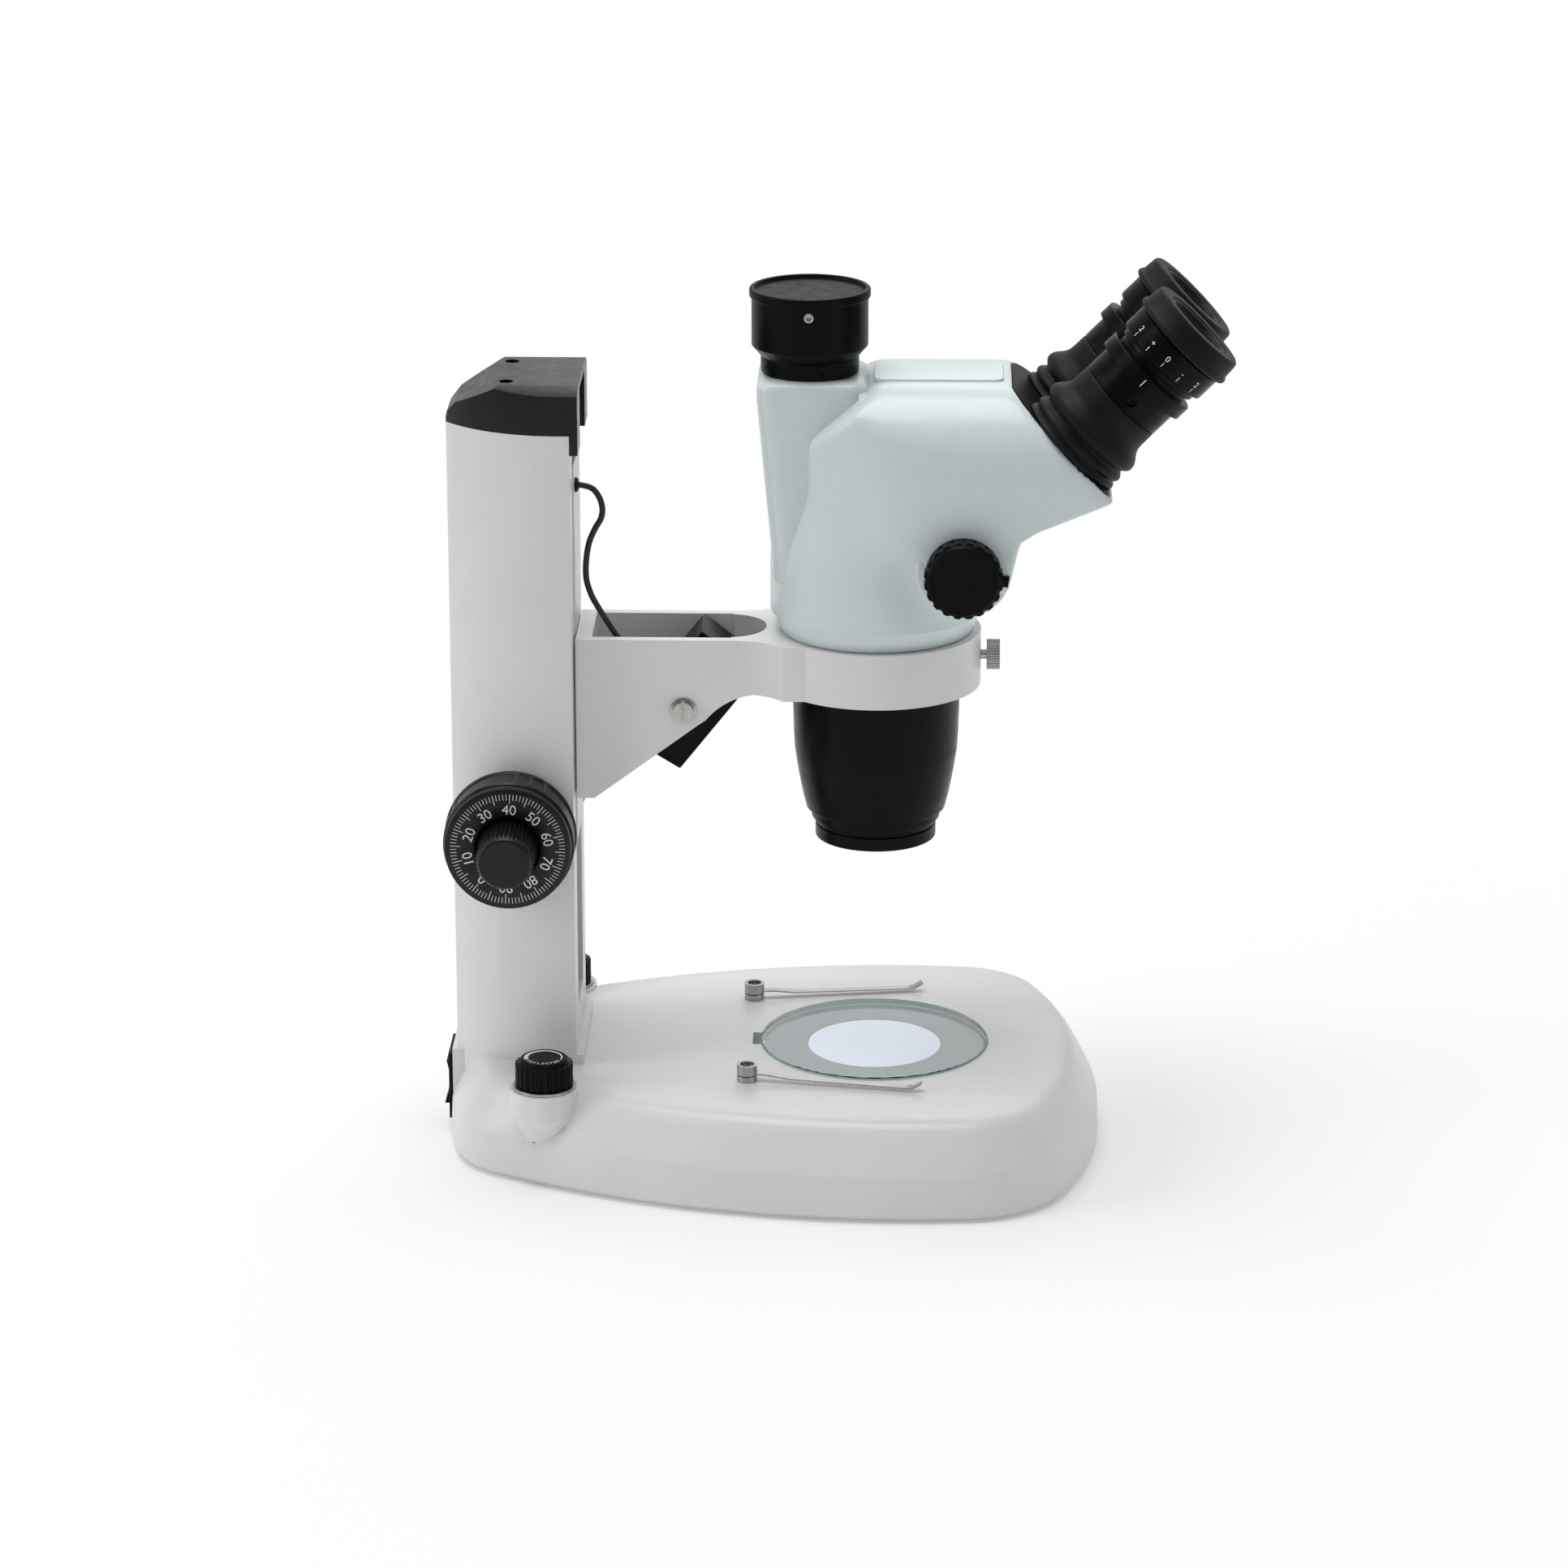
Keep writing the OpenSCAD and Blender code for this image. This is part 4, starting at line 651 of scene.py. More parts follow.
# The sloping front: X + Z on it is PLATE_SUM, and the frame of the front plate starts there at PLATE_X
PLATE_SUM, PLATE_X = 380.5, 78.66
PLATE_HALF, PLATE_SHOULDER_R = 47.2, 32.4


def eased_step(value, start, end):
    t = max(0.0, min(1.0, (value - start) / (end - start)))
    return t * t * (3 - 2 * t)


def along(value, knots):
    """Straight lines through (place, value) knots"""
    for (a, u), (b, v) in zip(knots, knots[1:]):
        if value <= b:
            return u + (v - u) * max(0.0, value - a) / (b - a)
    return knots[-1][1]


def shell_middle(z):
    return 25 * eased_step(z, 238, 292)


def shell_front(z):
    return along(z, ((228, 43.5), (236, 46.5), (248, 53), (265, 56.8), (269, 58.2), (273.5, 65.5),
                     (285.5, 94.5), (400, 380)))


def shell_side(x, y, z):
    """Distance-like value of the head's form at a point, below 0 inside it"""
    y = abs(y)
    # Below a slanting crease the sides draw in towards the collar
    fall = max(0.0, min(1.0, (298.5 - 0.72 * (x + 30) - z) / 26))
    half = SHELL_HALF - 6.5 * (1 - (1 - fall) ** 2)
    limits = [
        y - half, x - shell_front(z), (x + z - PLATE_SUM) * 0.7071, -SHELL_BACK - x, z - HEAD_TOP,
        (x - 24) * -0.157 + (y - SHELL_HALF) * 0.988, (x - 2) * -0.447 + (y - 46) * 0.894,
        (x + 17) * -0.6 + (y - 36.5) * 0.8,
        (x + SHELL_BACK) * -0.652 + (z - 303.7) * 0.758,
    ]
    if z > SHOULDER_Z:
        limits.append(math.hypot(max(0.0, y - SHOULDER_Y), z - SHOULDER_Z) - SHOULDER_R)
    ease = 1.15
    peak = max(limits)
    form = peak + ease * math.log(sum(math.exp((v - peak) / ease) for v in limits))
    low = 246 - 0.26 * (x + 30)
    share = eased_step(z, low, 289 - 0.47 * (x + 30))
    return (1 - share) * (math.hypot(x, y) - 43.5) + share * form


def head_level(z, count):
    """Points round the shell at one height, from the front round by the left side"""
    middle = shell_middle(z)
    ring = []
    for k in range(count + 1):
        turn = math.pi * k / count
        c, s = math.cos(turn), math.sin(turn)
        low, high = 2.0, 110.0
        for _ in range(24):
            reach = (low + high) / 2
            if shell_side(middle + reach * c, reach * s, z) < 0:
                low = reach
            else:
                high = reach
        ring.append((middle + low * c, low * s))
    return ring + [(x, -y) for x, y in reversed(ring[1:-1])]


def plate_point(u, v, n):
    """A point of the sloping front plate's frame: u down its face, v to the side, n out of it"""
    down = math.sqrt(0.5)
    return Vector((PLATE_X + (n + u) * down, v, PLATE_SUM - PLATE_X + (n - u) * down)) * MM


def plate_outline(top, foot, rim):
    """Outline of the front plate from one u to another, with a rim of the shell left round it"""
    corner = 3.5 if foot > 12 else 0.0
    stops = [top + (foot - corner - top) * k / 30 for k in range(31)]
    if corner:
        stops += [foot - corner + corner * math.sin(math.radians(15 * k)) for k in range(1, 7)]
    outline = []
    for u in stops:
        z = PLATE_SUM - PLATE_X - u * math.sqrt(0.5)
        reach = PLATE_HALF - rim
        if z > SHOULDER_Z:
            across = (PLATE_SHOULDER_R - rim) ** 2 - (z - SHOULDER_Z) ** 2
            reach = min(reach, SHOULDER_Y + math.sqrt(max(0.0, across)))
        if corner and u > foot - corner:
            reach -= corner - math.sqrt(max(0.0, corner ** 2 - (u - foot + corner) ** 2))
        outline.append((u, reach))
    return outline + [(u, -v) for u, v in reversed(outline)]


# Operators


class MICROSCOPE_OT_stage(bpy.types.Operator):
    """Camera at the photographed angle, floor, world and lamps"""

    bl_idname = "microscope.stage"
    bl_label = "Studio"

    def execute(self, context):
        scene, studio = context.scene, context.scene.microscope_studio
        scene.view_settings.view_transform = "Standard"
        only()
        bpy.ops.object.camera_add(location=CAMERA_AT)
        camera = context.object
        camera.name = "photo_camera"
        aim = Vector(CAMERA_AIM) - camera.location
        camera.rotation_euler = aim.to_track_quat("-Z", "Y").to_euler()
        camera.data.lens = CAMERA_LENS
        camera.data.sensor_width = 36
        camera.data.clip_end = 50
        scene.camera = camera

        only()
        bpy.ops.mesh.primitive_circle_add(vertices=96, radius=1.4, fill_type="NGON", location=(0, 0, -0.0002))
        floor = context.object
        floor.name = "studio_floor"
        edit_all(("inset", dict(thickness=0.5)))
        f = Finish("studio_floor", Roughness=0.9, Specular_IOR_Level=0.0)
        colour, tree = tuple(studio.floor), f.material.node_tree
        f.set("Base Color", f.tint(f.spread(f.noise(6, 2), 0, 1), colour, shaded(colour, 0.995)))
        # Where it is seen, the floor glows a little more the further it lies from the object
        away = f.nodes.new("ShaderNodeVectorMath")
        away.operation = "LENGTH"
        f.links.new(f.place, away.inputs[0])
        far = f.spread(away.outputs["Value"], 0.3, 1.0, 0.15, 0.62)
        path = f.nodes.new("ShaderNodeLightPath").outputs
        seen = calculated(tree, "MAXIMUM", path["Is Camera Ray"], path["Is Glossy Ray"])
        white = f.nodes.new("ShaderNodeEmission").outputs[0]
        mixed_to("Material Output", tree, calculated(tree, "MULTIPLY", seen, far), f.shader.outputs[0], white)
        floor.data.materials.append(f.material)

        world = bpy.data.worlds.new("studio_world")
        world.use_nodes = True
        scene.world = world
        tree = world.node_tree
        soft, plain = tree.nodes["Background"], tree.nodes.new("ShaderNodeBackground")
        for light in (soft, plain):
            light.inputs["Color"].default_value = (1, 1, 1, 1)
        # The soft light grows towards the back, and the camera sees plain white behind everything
        split = tree.nodes.new("ShaderNodeSeparateXYZ")
        tree.links.new(tree.nodes.new("ShaderNodeTexCoord").outputs["Generated"], split.inputs["Vector"])
        back = tree.nodes.new("ShaderNodeMapRange")
        back.interpolation_type = "SMOOTHSTEP"
        for key, value in (("From Min", -0.5), ("From Max", 0.8), ("To Min", studio.ambient * 0.55),
                           ("To Max", studio.ambient * 1.4)):
            back.inputs[key].default_value = value
        tree.links.new(split.outputs["Y"], back.inputs["Value"])
        tree.links.new(back.outputs["Result"], soft.inputs["Strength"])
        path = tree.nodes.new("ShaderNodeLightPath").outputs
        seen = calculated(tree, "MAXIMUM", path["Is Camera Ray"], path["Is Transmission Ray"])
        mixed_to("World Output", tree, seen, soft.outputs[0], plain.outputs[0])

        for name, at, size, power in (
                ("key_softbox", (-3.3, -1.0, 1.5), (1.4, 2.2), studio.key),
                ("fill_softbox", (2.6, -1.9, 0.9), (1.0, 2.0), studio.key * 0.22),
                ("top_softbox", (-0.3, 0.1, 3.0), (2.2, 1.8), studio.top),
                ("back_softbox", (0.6, 2.8, 1.8), (2.0, 1.6), studio.key * 0.25)):
            only()
            bpy.ops.object.light_add(type="AREA", location=at)
            lamp = context.object
            lamp.name = name
            lamp.data.shape = "RECTANGLE"
            lamp.data.size, lamp.data.size_y = size
            lamp.data.energy = power
            lamp.rotation_euler = (LAMP_AIM - lamp.location).to_track_quat("-Z", "Y").to_euler()
        return {"FINISHED"}


class MICROSCOPE_OT_lamp_cable(bpy.types.Operator):
    """Thin cable from the slider to the lamp, with its grommet and strain relief"""

    bl_idname = "microscope.lamp_cable"
    bl_label = "Lamp cable"

    def execute(self, context):
        points = [Vector((AXIS_X - b * MM, s * MM, ARM_TOP + u * MM)) for b, s, u in CABLE_ROUTE]
        curve = bpy.data.curves.new("lamp_cable_run", "CURVE")
        curve.dimensions = "3D"
        curve.resolution_u = 8
        curve.bevel_depth = 1.25 * MM
        curve.bevel_resolution = 4
        curve.use_fill_caps = True
        spline = curve.splines.new("BEZIER")
        spline.bezier_points.add(len(points) - 1)
        for i, (knot, here) in enumerate(zip(spline.bezier_points, points)):
            before, after = points[max(i - 1, 0)], points[min(i + 1, len(points) - 1)]
            lean = (after - before) / 6
            knot.handle_left_type = knot.handle_right_type = "FREE"
            knot.co, knot.handle_left, knot.handle_right = here, here - lean, here + lean
        cable = bpy.data.objects.new("lamp_cable_run", curve)
        context.scene.collection.objects.link(cable)
        settle(cable, "cable_jacket", "carriage")
        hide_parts("lamp_cable")

        grommet = turned("slider_grommet", [
            (1.3, 0), (3.0, 0), (3.1, 0.5), (2.6, 1.2), (1.9, 1.5), (1.3, 1.6)], 32)
        slider_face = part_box("focus_slider")[1].x
        place(grommet, Matrix.Translation((slider_face + 0.05 * MM, -8 * MM, ARM_TOP + 61.4 * MM))
              @ rotated(90, "Y"))
        settle(grommet, "rubber_black", "carriage")

        ribs = [(1.3, 0), (2.3, 0)]
        for k in range(5):
            r = 2.3 - 0.17 * k
            foot = 1.4 * k
            ribs += [(r, foot + 0.9), (r - 0.35, foot + 1.05), (r - 0.35, foot + 1.3), (r - 0.15, foot + 1.4)]
        ribs += [(1.45, 8.2), (1.3, 8.3)]
        sleeve = turned("cable_sleeve", ribs, 32)
        lead = (points[-3] - points[-1]).normalized()
        place(sleeve, Matrix.Translation(points[-1]) @ lead.to_track_quat("Z", "Y").to_matrix().to_4x4())
        settle(sleeve, "rubber_black", "carriage")
        return {"FINISHED"}


class MICROSCOPE_OT_castings(bpy.types.Operator):
    """Base, column and arm in stippled enamel with eased edges"""

    bl_idname = "microscope.castings"
    bl_label = "Stand castings"

    def execute(self, context):
        finish_nodes(CASTINGS)
        return {"FINISHED"}


class MICROSCOPE_OT_head_shells(bpy.types.Operator):
    """Moulded shell of the head, its rear tower, the rings round the zoom shaft and the front plate"""

    bl_idname = "microscope.head_shells"
    bl_label = "Head shells"

    def execute(self, context):
        eased_copy("head_base_ring", 0.4, "head_paint")
        move = Matrix.Translation((AXIS_X, 0, 0))

        # The shell, found level by level along rays from a middle line
        levels = [228.3, 228.5, 229.2]
        for step, last in ((1.9, 263), (0.75, 287), (2.2, 316), (1.2, 324.5), (0.5, 327.2), (0.16, 327.73)):
            while levels[-1] + step <= last + 0.01:
                levels.append(levels[-1] + step)
        outside, inside = [], []
        for k, z in enumerate(levels):
            ring = head_level(z, 144)
            pull = 0.35 if k == 0 else 0
            outside.append([
                Vector((x, y, z)) * MM - Vector((x, y, 0)).normalized() * pull * MM for x, y in ring])
            if k in (0, 2) or (k % 3 == 0 and z < 321):
                middle = shell_middle(z)
                inner = []
                for x, y in ring:
                    out = Vector((x - middle, y))
                    out *= 1 - HEAD_WALL / out.length
                    inner.append(Vector((middle + out.x, out.y, z)) * MM)
                inside.append(inner)
        inside.append([Vector((p.x, p.y * 0.8, 323.4 * MM)) for p in inside[-1]])
        shell = lofted("head_shell", list(reversed(inside)) + outside, 50)

        # Opening behind the front plate, and the bores of the zoom shaft
        opening = plate_outline(-34.4, 19.8, -0.15)
        cut_out(shell, lofted("plate_opening", [[plate_point(u, v, n) for u, v in opening] for n in (-9, 6)]))
        for side in (-1, 1):
            drill(shell, ZOOM_BORE_R, 24, 48, moved(ZOOM_X, side * 42, ZOOM_Z) @ rotated(90, "X"))

        rings = []
        for side in (-1, 1):
            ring = turned("zoom_boss", [(ZOOM_BORE_R, 0), (19.0, 0), (19.0, 9.8), (18.8, 10.4), (18.4, 10.7),
                                        (17.9, 10.8), (ZOOM_BORE_R, 10.8)])
            tab = block("zoom_tab", Vector((7.5, 6.5, 11.4)) * MM, Vector((-5.5, -17.6 * side, 5.1)) * MM)
            apply_modifier(tab, "BEVEL", width=1.1 * MM, segments=3, limit_method="ANGLE")
            smooth(tab)
            ring = joined("zoom_boss", [tab, ring])
            place(ring, moved(ZOOM_X, side * 36, ZOOM_Z) @ rotated(-90 * side, "X"))
            rings.append(ring)
        shell = joined("head_shell", [*rings, shell])
        place(shell, move)
        settle(shell, "head_paint", "head")
        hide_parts("main_housing")

        # The tower behind, tapered towards the collar, with round corners and a round top edge
        rings = []
        for z, inset in (
                (243.7, 1.2), (244.3, 0.4), (245, 0), (259.7, 0), (275, 0), (290, 0), (305, 0), (319, 0),
                (323.6, 0), (324.6, 0.12), (325.5, 0.5), (326.3, 1.15), (326.9, 2.0), (327.25, 2.9),
                (327.4, 3.9)):
            rear = -42 - 6.6 * max(0.0, min(1.0, (z - 250) / 69)) + inset
            front, half, round_r = -4 - inset, 23.5 - inset, 7.5 - min(inset, 3)
            ring = []
            near, far, side = front - round_r, rear + round_r, half - round_r
            for cx, cy, start in ((near, side, 0), (far, side, 90), (far, -side, 180), (near, -side, 270)):
                for k in range(11):
                    turn = math.radians(start + 9 * k)
                    ring.append(
                        Vector((cx + round_r * math.cos(turn), cy + round_r * math.sin(turn), z)) * MM)
            rings.append(ring)
        tower = lofted("head_tower", rings, 60)
        drill(tower, PORT_BORE_R, 60, 96, moved(PORT_X, 0, PORT_Z))
        place(tower, move)
        settle(tower, "head_paint", "head")
        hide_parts("tower_housing")

        # The front plate, cut back to the shell's shoulders, and its upper end
        plate = eased_copy("front_plate", 0, "black_plastic")
        face = max((v.co.x - AXIS_X + v.co.z) / MM - PLATE_SUM for v in plate.data.vertices) * math.sqrt(0.5)

        def plate_block(name, outline, depths):
            return lofted(name, [[move @ plate_point(u, v, n) for u, v in outline] for n in depths])

        cut_out(plate, plate_block("plate_rim", plate_outline(-24, 19.6, 0.1), (-12, 6)), "INTERSECT")
        smooth(plate, 32)
        brow = plate_block(
            "front_plate_brow", plate_outline(-34.2, -21.6, 0.1), (face - 1.7, face - 0.25, face))
        settle(brow, "black_plastic", "head")

        # The lid, which lies flush in the shell's top but for its seam
        corners = [
            (x + 4.5 * math.cos(math.radians(t)), y + 4.5 * math.sin(math.radians(t)))
            for x, y, start in ((46.2, 11.5, 0), (3.0, 11.5, 90), (3.0, -11.5, 180), (46.2, -11.5, 270))
            for t in range(start, start + 91, 9)]
        rings = []
        for z, pull in ((322.5, 0), (327.5, 0), (327.8, 0.12), (327.95, 0.35), (328.0, 0.7)):
            rings.append([Vector((24.6 + (x - 24.6) * (1 - pull / 26), y * (1 - pull / 16), z)) * MM
                          for x, y in corners])
        lid = place(lofted("head_lid", rings, 50), move)
        settle(lid, "head_paint", "head")
        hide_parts("top_cover")
        return {"FINISHED"}


class MICROSCOPE_OT_black_parts(bpy.types.Operator):
    """Knobs, tubes, rings, cap and rubber parts"""

    bl_idname = "microscope.black_parts"
    bl_label = "Black parts"

    def execute(self, context):
        finish_nodes(BLACK_PARTS)
        eased_copy("coarse_knobs", 0.2, "black_plastic", "knob_black")
        return {"FINISHED"}


class MICROSCOPE_OT_bright_parts(bpy.types.Operator):
    """Clips, screws and slider in bare metal"""

    bl_idname = "microscope.bright_parts"
    bl_label = "Bright parts"

    def execute(self, context):
        finish_nodes(BRIGHT_PARTS)
        return {"FINISHED"}


class MICROSCOPE_OT_stage_glass(bpy.types.Operator):
    """Glass plate of the stage with its frosted edge, and the finishes of parts that are shown as packed"""

    bl_idname = "microscope.stage_glass"
    bl_label = "Stage glass and inner parts"

    def execute(self, context):
        eased_copy("stage_plate", 0.5, "glass_clear")
        low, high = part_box("stage_plate")
        edge, thick = (high.y - low.y) / 2 / MM, (high.z - low.z) / MM
        rim = turned("stage_plate_edge", [(edge + 0.02, 0.35), (edge + 0.12, 0.5), (edge + 0.12, thick - 0.5),
                                          (edge + 0.02, thick - 0.35)], 128)
        place(rim, Matrix.Translation(((low.x + high.x) / 2, (low.y + high.y) / 2, low.z)))
        settle(rim, "ground_glass", frame["nodes"]["stage_plate"]["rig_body"])
        for node, slot in AS_PACKED.items():
            packed = frame["nodes"][node]
            packed.data.materials.clear()
            packed.data.materials.append(finishes[slot])
        return {"FINISHED"}


class MICROSCOPE_OT_boots(bpy.types.Operator):
    """Rubber boots with bellows folds between the head and the eyetubes"""

    bl_idname = "microscope.boots"
    bl_label = "Eyetube boots"

    def execute(self, context):
        outer = [
            (23.0, 0.02), (23.2, 0.9), (22.6, 1.9), (21.5, 2.6), (21.6, 3.2), (22.6, 4.2), (22.8, 5.1),
            (22.3, 6.3), (20.9, 7.4), (20.6, 8.2), (21.3, 9.0), (22.9, 10.3), (23.2, 11.8), (22.7, 13.8),
            (21.4, 15.4), (19.8, 17.3), (19.1, 19.0), (18.85, 21.0), (18.8, 24.5), (18.85, 27.2),
            (18.6, 28.1)]
        inner = [
            (17.2, 28.1), (17.0, 27.0), (17.0, 21.0), (17.9, 17.2), (19.9, 13.9), (21.0, 11.9), (19.2, 9.6),
            (18.8, 8.2), (20.3, 5.8), (19.9, 3.6), (19.8, 2.0), (20.8, 0.02)]
        for side, name, tube in ((-1, "left", "tube_left"), (1, "right", "tube_right")):
            boot = turned("eyetube_boot_" + name, outer + inner, 72)
            apply_modifier(boot, "SUBSURF", levels=1, render_levels=1)
            smooth(boot, 70)
            frame_of_tube = eye_frame(side)
            place(boot, frame_of_tube)
            boot.data.materials.append(finishes["rubber_black"])
            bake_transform(boot)
            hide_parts("boot_" + name)
        return {"FINISHED"}


class MICROSCOPE_OT_focus_dials(bpy.types.Operator):
    """Fine focus dials with their finger knobs, printed divisions and figures"""

    bl_idname = "microscope.focus_dials"
    bl_label = "Focus dials"

    def execute(self, context):
        marks = context.scene.microscope_marks
        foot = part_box("fine_dials")[1].y - FINGER_TOP * MM
        face = foot + DIAL_T * MM
        disc = turned("dial_disc", [
            (3.6, 0), (25.4, 0), (25.8, 0.5), (25.8, 3.5), (25.5, 4.05), (24.9, DIAL_T), (13.9, DIAL_T),
            (13.5, 4.15), (12.7, 2.7), (12.3, 2.5), (3.6, 2.5)], 128)

        def fluted_ring(radius, depth, height):
            share = (0, 0, 0.55, 1.0, 1.0, 0.55)
            ring, count = [], 40 * len(share)
            for i in range(count):
                reach, turn = radius - depth * share[i % len(share)], math.tau * i / count
                ring.append(Vector((reach * math.cos(turn), reach * math.sin(turn), height)) * MM)
            return ring

        finger = lofted("dial_finger", [fluted_ring(*at) for at in (
            (11.7, 0.7, 2.4), (11.9, 0.75, 8), (11.9, 0.75, 20.4), (11.75, 0.7, 21.0), (11.35, 0.35, 21.5),
            (11.0, 0, 21.9), (10.5, 0, 23.2), (10.1, 0, 23.55), (9.6, 0, FINGER_TOP),
            (9.2, 0, FINGER_TOP))], 32)
        dial = joined("dial_left", [disc, finger])
        outwards = Matrix.Translation((FOCUS_X, -foot, FOCUS_Z)) @ rotated(90, "X")
        place(dial, outwards)
        middle = Matrix.Translation((FOCUS_X, 0, 0))
        about = middle @ rotated(180, "Z") @ middle.inverted()
        dials = joined("focus_dials", [copied(dial, "dial_right", about), dial])
        settle(dials, "knob_black", "fine_focus")
        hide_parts("fine_dials")
        pieces = []
        short = stroke("division", 2.5 * MM, 0.24 * MM, marks.ink)
        long = stroke("division_long", 4.1 * MM, 0.28 * MM, marks.ink)
        step = 360 / marks.divisions
        for i in range(marks.divisions):
            tick, at = (long, 21.35) if i % 5 == 0 else (short, 22.15)
            pieces.append(copied(tick, "division_copy", rotated(i * step, "Z") @ moved(0, at, 0)))
        for i in range(10):
            figure = lettering("figure", str(i * 10), marks.figure_height, marks.ink)
            figure.data.transform(rotated(-36 * (i - 4), "Z") @ moved(0, 16.5, 0))
            pieces.append(figure)
        for spare in (short, long):
            bpy.data.objects.remove(spare)
        near = joined("dial_marks_left", pieces)
        upright = Matrix.Translation((FOCUS_X, -face, FOCUS_Z)) @ rotated(90, "X")
        place(near, upright @ rotated(-3, "Z"))
        far = copied(near, "dial_marks_right", about)
        for printed in (near, far):
            settle(printed, "ink", "fine_focus")
        return {"FINISHED"}


class MICROSCOPE_OT_eyepiece_marks(bpy.types.Operator):
    """Eyecups, dioptre scales and index lines of the eyepieces"""

    bl_idname = "microscope.eyepiece_marks"
    bl_label = "Eyepiece marks"

    def execute(self, context):
        marks = context.scene.microscope_marks
        for side, name in ((-1, "left"), (1, "right")):
            # The skirt and rounded side, the flat top, the groove in it, and the lens opening
            cup = turned("eyecup_skin_" + name, [
                *((EYECUP_R + out, z) for out, z in (
                    (-2.4, 61.4), (-0.2, 61.4), (0.3, 61.8), (0.5, 62.4), (0.4, 63.2), (-0.1, 63.9),
                    (-0.5, 64.4), (-0.9, 69.8), (-1.2, 70.8), (-2.0, 71.4))),
                (16.4, 71.45), (15.6, 71.3), (15.3, 70.6), (15.0, 70.5), (14.6, 70.9),
                (13.4, 70.7), (12.9, 69.9), (12.5, 69.0), (11.4, 68.6), (11.2, 68.0), (11.5, 67.4),
                (20.2, 66.9)])
            place(cup, eye_frame(side))
            settle(cup, "rubber_black", "eyepiece_" + name)
            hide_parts("eyecup_" + name)
            scale = []
            line = stroke("dioptre_line", 2.2 * MM, 0.3 * MM, marks.ink * 2)
            for words, degrees in (("2", -48), ("+", -24), ("0", 0), ("-", 24), ("2", 48)):
                line_place = on_rim(20.93, DIOPTRE_LINE_AT, degrees + 8 * side)
                scale.append(copied(line, "dioptre_line_copy", line_place))
                figure = lettering("dioptre_figure", words, 2.5 * MM, marks.ink * 2)
                figure.data.transform(on_rim(20.93, DIOPTRE_FIGURE_AT, degrees + 8 * side))
                scale.append(figure)
            ring = joined("dioptre_scale_" + name, scale)
            place(ring, eye_frame(side))
            settle(ring, "ink", "eyepiece_" + name)
            index = copied(line, "index_line_" + name,
                           on_rim(21.02, INDEX_AT, 8 * side) @ Matrix.Diagonal((1.3, 1.6, 1, 1)))
            place(index, eye_frame(side))
            settle(index, "ink", "tube_" + name)
            bpy.data.objects.remove(line)
        return {"FINISHED"}


class MICROSCOPE_OT_brightness_knobs(bpy.types.Operator):
    """Bright rings under the brightness knobs, and the swelling arcs and the words on their tops"""

    bl_idname = "microscope.brightness_knobs"
    bl_label = "Brightness knobs"

    def execute(self, context):
        marks = context.scene.microscope_marks
        for name, words in (("left", "REFLECTED"), ("right", "TRANSMITTED")):
            low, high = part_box("brightness_knob_" + name)
            middle = Vector(((low.x + high.x) / 2, (low.y + high.y) / 2, 0))
            ring = turned("knob_ring_" + name, [(10.4, 0), (12.9, 0), (13.1, 0.2), (13.1, 0.9), (12.8, 1.25),
                                                (10.6, 1.25), (10.4, 1.1)], 72)
            place(ring, Matrix.Translation(middle + Vector((0, 0, DECK_Z * MM))))
            settle(ring, "steel", "stand")
            arc, mesh = drawn("knob_arc")
            rows = []
            for k in range(29):
                turn = math.radians(40 + 220 * k / 28)
                half = (0.25 + 0.75 * k / 28) * MM
                rows.append([mesh.verts.new((r * math.cos(turn), r * math.sin(turn), 0))
                             for r in (KNOB_MARK_R * MM - half, KNOB_MARK_R * MM + half)])
            for a, b in zip(rows, rows[1:]):
                mesh.faces.new((a[0], a[1], b[1], b[0]))
            bmesh.update_edit_mesh(arc.data)
            upwards = dict(TRANSFORM_OT_translate={"value": (0, 0, marks.ink)})
            edit_all(("extrude_region_move", upwards), NORMALS_OUT)
            arc.data.transform(rotated(-60, "Z"))
            pieces = [arc]
            for k, letter in enumerate(words):
                glyph = lettering("knob_letter", letter, 1.8 * MM, marks.ink)
                turn = 13.5 * (k - (len(words) - 1) / 2)
                glyph.data.transform(
                    rotated(turn, "Z") @ Matrix.Translation((0, -KNOB_MARK_R * MM, marks.ink / 2)))
                pieces.append(glyph)
            top = joined("knob_marks_" + name, pieces)
            place(top, Matrix.Translation(middle + Vector((0, 0, high.z - 0.01 * MM)))
                  @ Matrix.Scale(0.93, 4))
            settle(top, "ink", "dimmer_" + name)
        return {"FINISHED"}


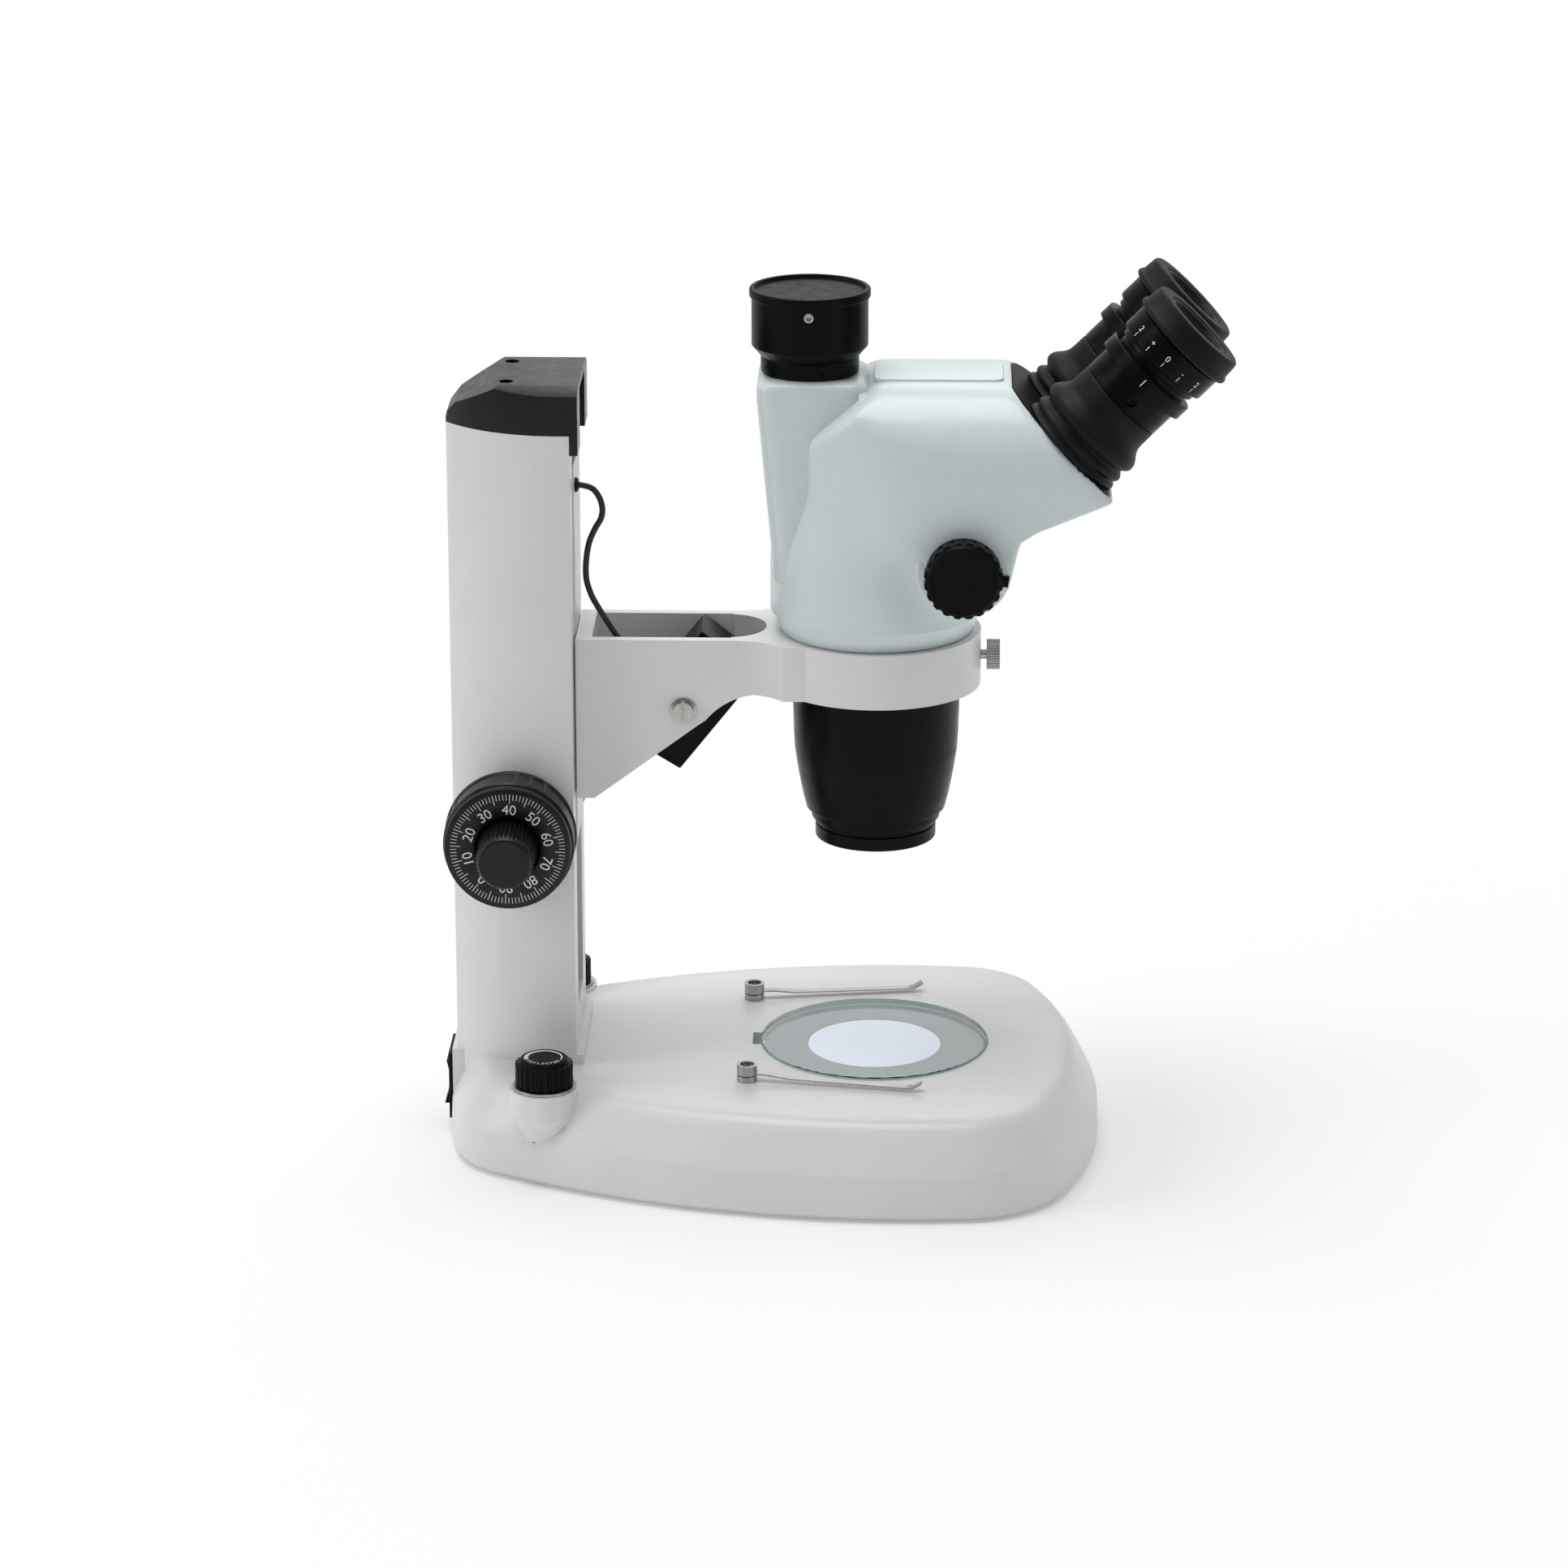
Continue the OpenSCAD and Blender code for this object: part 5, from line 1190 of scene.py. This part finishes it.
class MICROSCOPE_OT_small_parts(bpy.types.Operator):
    """Grub screws of the port, set screws of the eyetubes and switch marks"""

    bl_idname = "microscope.small_parts"
    bl_label = "Small parts"

    def execute(self, context):
        marks = context.scene.microscope_marks
        # Grub screws in the ring under the photo port
        screw = turned("port_grub", [(0.0, 0), (0.95, 0), (0.95, 1.6), (0.75, 1.8), (0.5, 1.8), (0.5, 1.1),
                                     (0.0, 1.1)], 24)
        port_x = sum(v.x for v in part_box("port_ring")) / 2
        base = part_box("port_ring")[0].z
        grubs = []
        for turn, reach in ((45, 17.9), (165, 17.9), (285, 17.9), (90, 18.35), (210, 18.35), (330, 18.35)):
            out = (Matrix.Translation((port_x, 0, base + 3.6 * MM)) @ rotated(turn, "Z")
                   @ moved(reach, 0, 0) @ rotated(90, "Y"))
            grubs.append(copied(screw, "port_grub_copy", out))
        bpy.data.objects.remove(screw)
        settle(joined("port_grub_screws", grubs), "black_metal", "head")

        # Set screws in the eyetubes
        for side, name in ((-1, "left"), (1, "right")):
            plug = turned("tube_screw_" + name, [
                (0.0, 0), (1.9, 0), (1.9, 0.5), (1.7, 0.7), (0.9, 0.7), (0.9, 0.1), (0.0, 0.1)], 24)
            lip = turned("tube_hole_lip_" + name, [
                (2.0, 1.7), (2.55, 1.7), (2.5, 1.98), (2.3, 2.03), (2.05, 1.95)], 32)
            plug = joined("tube_screw_" + name, [lip, plug])
            place(plug, eye_frame(side) @ rotated(90 - 90 * side, "X")
                  @ moved(0, 0, TUBE_SCREW_AT * side) @ rotated(-90, "X")
                  @ moved(0, 0, 16.6))
            settle(plug, "black_metal", "tube_" + name)

        # Marks on the power rocker
        for words, height in (("I", 6.2), ("O", -6.2)):
            mark = lettering("switch_mark_" + words, words, 3.4 * MM, marks.ink)
            # The rocker's face rises towards both ends, further at the lower one
            rise = 2.0 if height > 0 else -3.0
            lean = math.atan2(rise, ROCKER_HALF)
            depth = -4.6 - rise * height / ROCKER_HALF
            at = Vector((AXIS_X + (depth - ROCKER_BACK - 0.02) * MM, 0, (ROCKER_Z + height) * MM))
            place(mark, Matrix.Translation(at) @ Matrix.Rotation(-lean, 4, "Y")
                  @ rotated(-90, "Z") @ rotated(90, "X"))
            settle(mark, "ink", "rocker")
        return {"FINISHED"}


GROUPS = {
    "microscope_colours": FinishColours, "microscope_marks": MarkSizes, "microscope_studio": StudioSettings,
}
OPERATORS = (
    MICROSCOPE_OT_stage, MICROSCOPE_OT_lamp_cable, MICROSCOPE_OT_castings, MICROSCOPE_OT_head_shells,
    MICROSCOPE_OT_black_parts, MICROSCOPE_OT_bright_parts, MICROSCOPE_OT_stage_glass, MICROSCOPE_OT_boots,
    MICROSCOPE_OT_focus_dials, MICROSCOPE_OT_eyepiece_marks, MICROSCOPE_OT_brightness_knobs,
    MICROSCOPE_OT_small_parts,
)


class MICROSCOPE_PT_panel(bpy.types.Panel):
    """Lists the steps that dress the microscope"""

    bl_label = "Microscope"
    bl_idname = "MICROSCOPE_PT_panel"
    bl_space_type = "VIEW_3D"
    bl_region_type = "UI"
    bl_category = "Microscope"

    def draw(self, context):
        for group in GROUPS:
            settings = getattr(context.scene, group)
            box = self.layout.box()
            for name in settings.__annotations__:
                box.prop(settings, name)
        for operator in OPERATORS:
            self.layout.operator(operator.bl_idname)


CLASSES = (*GROUPS.values(), *OPERATORS, MICROSCOPE_PT_panel)


def register():
    for item in CLASSES:
        bpy.utils.register_class(item)
    for name, group in GROUPS.items():
        setattr(bpy.types.Scene, name, bpy.props.PointerProperty(type=group))


def unregister():
    for name in GROUPS:
        delattr(bpy.types.Scene, name)
    for item in reversed(CLASSES):
        bpy.utils.unregister_class(item)


def main():
    register()
    make_finishes(bpy.context.scene.microscope_colours)
    for operator in OPERATORS:
        module, name = operator.bl_idname.split(".")
        getattr(getattr(bpy.ops, module), name)()
    only()


if __name__ == "__main__":
    main()
